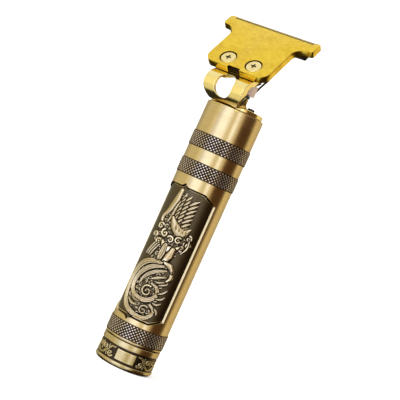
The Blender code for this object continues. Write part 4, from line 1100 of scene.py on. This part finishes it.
def make_neck_bracket(material):
    """Cast bracket: base disc, two arms around a window, and the blade's platform."""
    profile = neck_profile()
    sections = [[(share * neck_half_width(p), p.y, p.z) for p in profile] for share in (-1, 1)]
    bracket = loft("neck_casting", sections, material)
    space = pocket_profile()
    sections = [[(share * (neck_half_width(p) - 1.6), p.y, p.z) for p in space] for share in (-1, 1)]
    carve(bracket, loft("pocket", sections, material))
    low, high = DISC_TOP + 0.2, HEEL.z - 2.7
    outline = slot_outline(4.2, (high - low) / 2, 3.78, 10)
    stand = Matrix.Translation(Vector((0.0, 0.0, (low + high) / 2))) @ Matrix.Rotation(math.radians(90), 4, "X")
    carve(bracket, prism("window", outline, 4.0, 24.0, material, stand))
    step = BORE_RADIUS - 0.4
    seat = box_mm("neck_bracket")[0].z
    outline = [(2.4, seat), (step, seat), (step, DISC_BOTTOM), (DISC_RADIUS, DISC_BOTTOM), (DISC_RADIUS, DISC_TOP),
               (2.4, DISC_TOP)]
    carve(bracket, turned("disc", outline, material, 96), "UNION")
    for side in (-1, 1):
        hole = [(0.0, seat - 2.0), (1.1, seat - 2.0), (1.1, DISC_TOP + 2.0), (0.0, DISC_TOP + 2.0)]
        carve(bracket, turned("hole", hole, material, 32, (side * NECK_SCREW_PLACE[0], NECK_SCREW_PLACE[1])))
        hole = [(0.0, -9.0), (SCREW_HOLE, -9.0), (SCREW_HOLE, -2.0), (0.0, -2.0)]
        place = (side * SCREW_PLACE[0], SCREW_PLACE[1])
        carve(bracket, turned("hole", hole, material, 32, place, face_matrix()))
    remesh = bracket.modifiers.new("fillet", "REMESH")
    remesh.mode = "VOXEL"
    remesh.voxel_size = 0.17 * MM
    smooth = bracket.modifiers.new("polish", "SMOOTH")
    smooth.factor = 0.5
    smooth.iterations = 7
    settle(bracket, 60.0)
    thin = bracket.modifiers.new("thin", "DECIMATE")
    thin.ratio = 0.5
    return settle(bracket, 60.0)


def make_yoke(material):
    """Softened copy of the plastic drive arm."""
    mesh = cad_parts["drive_yoke"].data.copy()
    work = bmesh.new()
    work.from_mesh(mesh)
    bmesh.ops.remove_doubles(work, verts=work.verts, dist=0.000002)
    bmesh.ops.dissolve_limit(work, angle_limit=math.radians(2.0), verts=work.verts, edges=work.edges)
    work.to_mesh(mesh)
    work.free()
    item = link_piece("drive_arm", mesh, material)
    add_bevel(item, 0.2, 2, 30.0)
    return settle(item)


def make_blade_screw(name, side, material):
    """Round-headed screw with a cross recess, shank and end."""
    place = (side * SCREW_PLACE[0], SCREW_PLACE[1])
    top, seat = -0.1, -1.3
    outline = [(0.0, -9.4), (1.1, -9.4), (1.3, -9.1), (1.3, seat), (3.3, seat), (3.3, top - 0.35)]
    outline += arc((2.9, top - 0.4), (0.4, 0.3), 0.0, 90.0, 5) + [(0.0, top + 0.02)]
    screw = turned(name, outline, material, 64, place)
    for half_x, half_y in ((0.35, 1.3), (1.3, 0.35)):
        tool = prism("slot", slot_outline(half_x, half_y, 0.15, 3, place), top - 0.7, top + 1.0, material)
        carve(screw, tool)
    add_bevel(screw, 0.06, 2, 40.0)
    settle(screw)
    # Faces inside the cross recess are marked for painted shade.
    marks = [1.0 if max(abs(face.center.x / MM - place[0]), abs(face.center.y / MM - place[1])) < 1.38
             and top - 1.5 < face.center.z / MM < top - 0.15 else 0.0 for face in screw.data.polygons]
    mark_faces(screw, marks)
    screw.data.transform(scaled(face_matrix()))
    return screw


def make_blade_nut(name, side, material):
    """Hexagon nut with chamfered corners behind the platform."""
    place = (side * SCREW_PLACE[0], SCREW_PLACE[1])
    top = -(BLADE_THICKNESS + 3.6)
    corner = 2.5 / math.cos(math.pi / 6.0)
    nut = prism(name, arc(place, (corner, corner), 0.0, 300.0, 5), top - 2.3, top, material)
    bore = [(0.0, top - 4.0), (1.6, top - 4.0), (1.6, top + 2.0), (0.0, top + 2.0)]
    carve(nut, turned("bore", bore, material, 32, place))
    add_bevel(nut, 0.22, 3, 40.0)
    settle(nut)
    nut.data.transform(scaled(face_matrix()))
    return nut


def make_neck_screw(name, side, material):
    """Small slotted screw in the base disc."""
    place = (side * NECK_SCREW_PLACE[0], NECK_SCREW_PLACE[1])
    foot = box_mm("neck_screw_left")[0].z
    low = DISC_TOP + 0.3
    outline = [(0.0, foot), (0.8, foot), (0.8, low), (1.6, low)] + arc((0.9, low + 0.4), (0.7, 0.7), 0.0, 90.0, 6)
    screw = turned(name, outline + [(0.0, low + 1.1)], material, 40, place)
    tool = prism("slot", slot_outline(2.0, 0.2, 0.05, 2, place), low + 0.65, low + 2.0, material)
    return carve(screw, tool)


def tube(name, route, radius, material, sides=16):
    """A round wire along a route in millimetres, closed at both ends."""
    curve = bpy.data.curves.new(name, "CURVE")
    curve.dimensions = "3D"
    curve.bevel_depth = radius * MM
    curve.bevel_resolution = sides // 4
    curve.use_fill_caps = True
    spline = curve.splines.new("POLY")
    spline.points.add(len(route) - 1)
    for point, place in zip(spline.points, route):
        point.co = (*(Vector(place) * MM), 1.0)
    helper = bpy.data.objects.new(name + "_route", curve)
    bpy.context.scene.collection.objects.link(helper)
    bpy.context.view_layer.update()
    graph = bpy.context.evaluated_depsgraph_get()
    mesh = bpy.data.meshes.new_from_object(helper.evaluated_get(graph), depsgraph=graph)
    bpy.data.objects.remove(helper, do_unlink=True)
    return link_piece(name, face_outwards(mesh, 0.000001), material, 50.0)


def make_tension_spring(material):
    """Bent wire behind the blade, from heel corner to heel corner."""
    fork_low = DISC_TOP + 0.8 + 3.8 + 0.3 + 1.0 + 0.3
    bend_y = 1.85 + 1.2 + 0.75 + 0.6
    bend_z = fork_low + 1.0
    end = face_point(5.5, -(BLADE_THICKNESS + 0.75))
    right = bezier([(13.4, end.y, end.z), (12.2, end.y + 5.0, end.z + 0.2), (4.3, bend_y + 1.1, fork_low + 9.4),
                    (1.6, bend_y, bend_z)], 40)
    left = [Vector((-p.x, p.y, p.z)) for p in reversed(right)]
    bend = [Vector((side * 0.8, bend_y + 0.5, bend_z)) for side in (1, -1)]
    return tube("tension_wire", right + bend + left, 0.45, material)


def make_end_plate(material):
    """Plate in the underside with softened holes and a fine turned face."""
    outline = [(0.0, 0.0), (10.4, 0.0), (10.4, 1.3), (0.0, 1.3)]
    plate = turned("underside_plate", outline, material, 96)
    for radius, sides, place in ((3.5, 64, (BUTTON_X, 0.0)), (1.2, 40, (0.0, 6.9))):
        hole = [(0.0, -1.0), (radius, -1.0), (radius, 3.0), (0.0, 3.0)]
        carve(plate, turned("hole", hole, material, sides, place))
    carve(plate, prism("slot", slot_outline(1.95, 4.8, 1.85, 10, (4.9, 0.0)), -1.0, 3.0, material))
    add_bevel(plate, 0.15, 3, 40.0)
    return settle(plate)


def make_return_spring(material):
    """Fine coil between the button's flange and the switch."""
    low, high = box_mm("button_spring")
    steps = SPRING_TURNS * 32
    route = []
    for step in range(steps + 1):
        angle = 2.0 * math.pi * step / 32
        height = low.z + SPRING_WIRE + (high.z - low.z - 2.0 * SPRING_WIRE) * step / steps
        x, y = SPRING_RADIUS * math.cos(angle), SPRING_RADIUS * math.sin(angle)
        route.append((BUTTON_X + x, y, height))
    return tube("return_spring", route, SPRING_WIRE, material, 8)


def make_power_button(material):
    """Dished button with two fine rings, its flange and its stem."""
    top = box_mm("power_button")[1].z
    outline = [(0.0, 0.75)] + arc((0.0, 0.35), (2.3, 0.4), 90.0, 0.0, 8)[1:]
    outline += [(2.45, 0.5), (2.6, 0.35), (2.85, 0.35), (3.1, 0.45), (3.2, 0.65), (3.2, 1.6), (3.9, 1.6), (3.9, 2.4),
                (1.0, 2.4), (1.0, top), (0.0, top)]
    return turned("push_button", outline, material, 64, (BUTTON_X, 0.0))


# ------------------------------------------------------------ stage and camera


def make_stage():
    """Pale floor that runs into a pale wall all round; from beneath, the light passes it."""
    profile = [(0.0, 0.0), (1.5, 0.0), (2.2, 0.02)]
    profile += arc((2.2, 0.8), (0.8, 0.8), -80.0, 0.0, 12) + [(STAGE_RADIUS, 2.5)]
    verts, faces = [], []
    sides = 96
    for radius, height in profile[1:]:
        for k in range(sides):
            angle = 2 * math.pi * k / sides
            verts.append((radius * math.cos(angle), radius * math.sin(angle), height - FLOOR_GAP))
    faces.append(list(range(sides)))
    for ring in range(len(profile) - 2):
        for k in range(sides):
            a, b = ring * sides + k, ring * sides + (k + 1) % sides
            faces.append([a, a + sides, b + sides, b])
    finish = Finish("pale_floor", metallic=0.0, Emission_Strength=0.3)
    speck = finish.noise(finish.place(), 40.0, 3.0)
    finish.feed("Base Color", finish.mix(speck, (0.86, 0.86, 0.86), (0.88, 0.88, 0.88)))
    finish.feed("Emission Color", (1.0, 1.0, 1.0, 1.0))
    finish.feed("Roughness", 0.7)
    beneath = finish.node("ShaderNodeNewGeometry", output="Backfacing")
    clear = finish.node("ShaderNodeBsdfTransparent")
    solid = Value(finish, finish.shader.outputs[0])
    seen = finish.node("ShaderNodeMixShader", None, {0: beneath, 1: solid, 2: clear})
    finish.join(seen, finish.tree.nodes["Material Output"].inputs["Surface"])
    mesh = bpy.data.meshes.new("floor")
    mesh.from_pydata(verts, [], faces)
    floor = link_piece("floor", mesh, finish.material, 180.0)
    floor.visible_glossy = False


def make_world():
    """Studio light as metal sees it: soft panels and dark flags at bearings from the camera."""
    world = bpy.data.worlds.new("studio")
    bpy.context.scene.world = world
    world.use_nodes = True
    graph = Graph(world.node_tree)
    background = world.node_tree.nodes["Background"]
    where = graph.node("ShaderNodeTexCoord", output="Generated")
    turn = graph.node("ShaderNodeMapping", {"vector_type": "POINT"},
                      {"Vector": where, "Rotation": (0.0, 0.0, math.radians(90.0 - CAMERA_AZIMUTH))})
    x, y, z = (graph.node("ShaderNodeSeparateXYZ", None, {0: turn}, k) for k in range(3))
    bearing = y.math("ARCTAN2", x) * (180.0 / math.pi)
    rise = z.math("ARCSINE") * (180.0 / math.pi)

    def panel(start, end, soft, edge=None):
        """A strip between two bearings; right of the camera is positive."""
        edge = soft if edge is None else edge
        return bearing.spread(start - soft, start + soft) * bearing.spread(end + edge, end - edge)

    ring = 0.11 + panel(-181.0, -128.0, 10.0) * 0.42 + panel(-128.0, -62.0, 12.0) * 0.74
    ring = ring + panel(-66.0, 42.0, 10.0, 4.0) * 0.84 + panel(-44.0, -6.0, 9.0) * 0.8
    ring = ring + panel(14.0, 26.0, 4.0) * 0.9
    ring = ring + panel(101.0, 181.0, 5.0) * 0.55 + panel(101.0, 130.0, 5.0, 14.0) * 0.3
    tone = graph.mix(panel(-56.0, -5.0, 12.0) + panel(14.0, 27.0, 4.0), (1.0, 0.93, 0.66), (1.0, 1.08, 1.40))
    tone = graph.mix(panel(40.0, 97.0, 6.0), tone, (1.0, 0.52, 0.24))
    tone = graph.mix(panel(98.0, 181.0, 6.0), tone, (1.0, 0.84, 0.52))
    above = rise.spread(24.0, 50.0)
    below = rise.spread(-14.0, -26.0)
    light = ring * (1.0 - above) + above * 0.98
    light = light * (1.0 - below) + below * (0.03 + panel(-92.0, 20.0, 10.0) * 0.8)
    graph.join(light, background.inputs["Strength"])
    graph.join(graph.mix(above, tone, (1.0, 0.98, 0.94)), background.inputs["Color"])


def make_camera():
    """Camera in front and to the right of the blade, rolled so that the clipper leans."""
    azimuth = math.radians(CAMERA_AZIMUTH)
    pitch, yaw, roll = (math.radians(v) for v in (CAMERA_PITCH, CAMERA_YAW, CAMERA_ROLL))
    place = Vector((CAMERA_DISTANCE * math.sin(azimuth), -CAMERA_DISTANCE * math.cos(azimuth), CAMERA_HEIGHT))
    heading = azimuth - yaw
    forward = Vector((-math.sin(heading) * math.cos(pitch), math.cos(heading) * math.cos(pitch), -math.sin(pitch)))
    right = Vector((math.cos(heading), math.sin(heading), 0.0))
    up = right.cross(forward)
    leaned_up = up * math.cos(roll) - right * math.sin(roll)
    leaned_right = right * math.cos(roll) + up * math.sin(roll)
    data = bpy.data.cameras.new("camera")
    data.lens = CAMERA_LENS
    data.sensor_width = 36.0
    data.clip_start = 0.01
    data.clip_end = 20.0
    camera = bpy.data.objects.new("camera", data)
    bpy.context.scene.collection.objects.link(camera)
    matrix = Matrix((leaned_right, leaned_up, -forward)).transposed().to_4x4()
    matrix.translation = place
    camera.matrix_world = matrix
    bpy.context.scene.camera = camera


def make_key_light():
    """One large soft lamp from the upper left, for what isn't metal."""
    data = bpy.data.lights.new("key", "AREA")
    data.shape = "RECTANGLE"
    data.size = 0.9
    data.size_y = 0.7
    data.energy = 16.0
    lamp = bpy.data.objects.new("key", data)
    bpy.context.scene.collection.objects.link(lamp)
    lamp.location = (-0.4, -0.9, 1.1)
    aim = Vector((0.0, 0.0, 0.08)) - lamp.location
    lamp.rotation_mode = "QUATERNION"
    lamp.rotation_quaternion = aim.to_track_quat("-Z", "Y")
    lamp.visible_glossy = False


def finish_piece(piece, body, slot, *nodes):
    """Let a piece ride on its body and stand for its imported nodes."""
    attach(piece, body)
    if nodes:
        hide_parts(*nodes)


def dress(node, material):
    """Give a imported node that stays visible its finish."""
    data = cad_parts[node].data
    data.materials.clear()
    data.materials.append(material)


def main():
    brass = barrel_brass()
    knurl = knurl_metal()
    ornament = relief_metal("ornament_bronze", (0.105, 0.08, 0.044), (0.55, 0.42, 0.22),
                            (0.96, 0.84, 0.60), 0.22)
    cap_metal = relief_metal("cap_bronze", (0.05, 0.035, 0.02), (0.50, 0.39, 0.18), (0.66, 0.53, 0.28), 0.2)
    gold = blade_gold()
    pale = cast_metal("pale_gold", (0.96, 0.82, 0.38), (0.92, 0.74, 0.28), 0.10)
    screw_gold = cast_metal("screw_gold", (0.93, 0.80, 0.40), (0.86, 0.68, 0.28), 0.2)
    steel = turned_metal("steel", (0.62, 0.62, 0.62), (0.48, 0.48, 0.49), 0.22)
    black_steel = cast_metal("black_steel", (0.06, 0.055, 0.05), (0.03, 0.03, 0.03), 0.3)
    bronze = turned_metal("dark_bronze", (0.22, 0.16, 0.09), (0.12, 0.085, 0.05), 0.32)
    cam_brass = turned_metal("cam_brass", (0.55, 0.36, 0.14), (0.36, 0.22, 0.08), 0.26)
    cream = moulded_plastic("cream_plastic", (0.52, 0.38, 0.30), (0.46, 0.33, 0.25))
    black = moulded_plastic("black_plastic", (0.025, 0.025, 0.027), (0.04, 0.04, 0.042))
    grey = moulded_plastic("magnet_grey", (0.09, 0.09, 0.10), (0.06, 0.06, 0.065), 0.6)
    sleeve = moulded_plastic("cell_sleeve", (0.05, 0.12, 0.34), (0.04, 0.09, 0.28), 0.3)

    finish_piece(make_barrel(brass), "housing", "antique_brass", "barrel")
    tree = knurl_tree(knurl)
    for name, start in zip(("knurl_low", "knurl_middle", "knurl_top"), KNURL_LOWS):
        finish_piece(make_knurl(tree, name, start, knurl), "housing", "dark_bronze")
    finish_piece(make_emblem_plate(ornament), "housing", "dark_bronze", "emblem_plate")
    finish_piece(make_base_cap(cap_metal), "housing", "antique_brass", "base_cap")
    finish_piece(make_fixed_blade(gold), "housing", "bright_gold", "fixed_blade")
    finish_piece(make_neck_bracket(pale), "housing", "pale_gold", "neck_bracket")
    for label, side in (("left", -1), ("right", 1)):
        finish_piece(make_blade_screw("face_screw_" + label, side, screw_gold), "housing", "bright_gold",
                     "blade_screw_" + label)
        finish_piece(make_blade_nut("back_nut_" + label, side, steel), "housing", "bright_steel",
                     "blade_nut_" + label)
        finish_piece(make_neck_screw("disc_screw_" + label, side, black_steel), "housing", "black_steel",
                     "neck_screw_" + label)
    finish_piece(make_tension_spring(black_steel), "housing", "black_steel", "tension_spring")
    finish_piece(make_end_plate(bronze), "housing", "dark_bronze", "end_plate")
    finish_piece(make_power_button(steel), "power_button", "bright_steel", "power_button")
    spring = make_return_spring(steel)
    finish_piece(spring, "power_button", "bright_steel", "button_spring")
    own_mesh(spring)
    # The cutter blade's black steel is a dark finish and painted shade: it darkens what shows through the comb's gaps.
    finish_piece(make_moving_blade(black_steel), "blade_carriage", "black_steel", "moving_blade")
    finish_piece(make_yoke(cream), "blade_carriage", "cream_plastic", "drive_yoke")

    board = circuit_board()
    kept = {"eccentric_cam": cam_brass, "cam_washer": black, "charging_socket": steel,
            "indicator_light": clear_lens(), "circuit_board": board, "tactile_switch": black,
            "inner_carrier": black, "battery_cell": sleeve,
            "battery_contact_bottom": steel, "battery_contact_top": steel, "motor_can": steel,
            "motor_bush": cam_brass, "motor_end_bell": black, "motor_magnet_left": grey,
            "motor_magnet_right": grey, "rotor": steel}
    for node, material in kept.items():
        dress(node, material)

    make_stage()
    make_world()
    make_key_light()
    make_camera()
    bpy.context.scene.view_settings.view_transform = "Standard"


main()
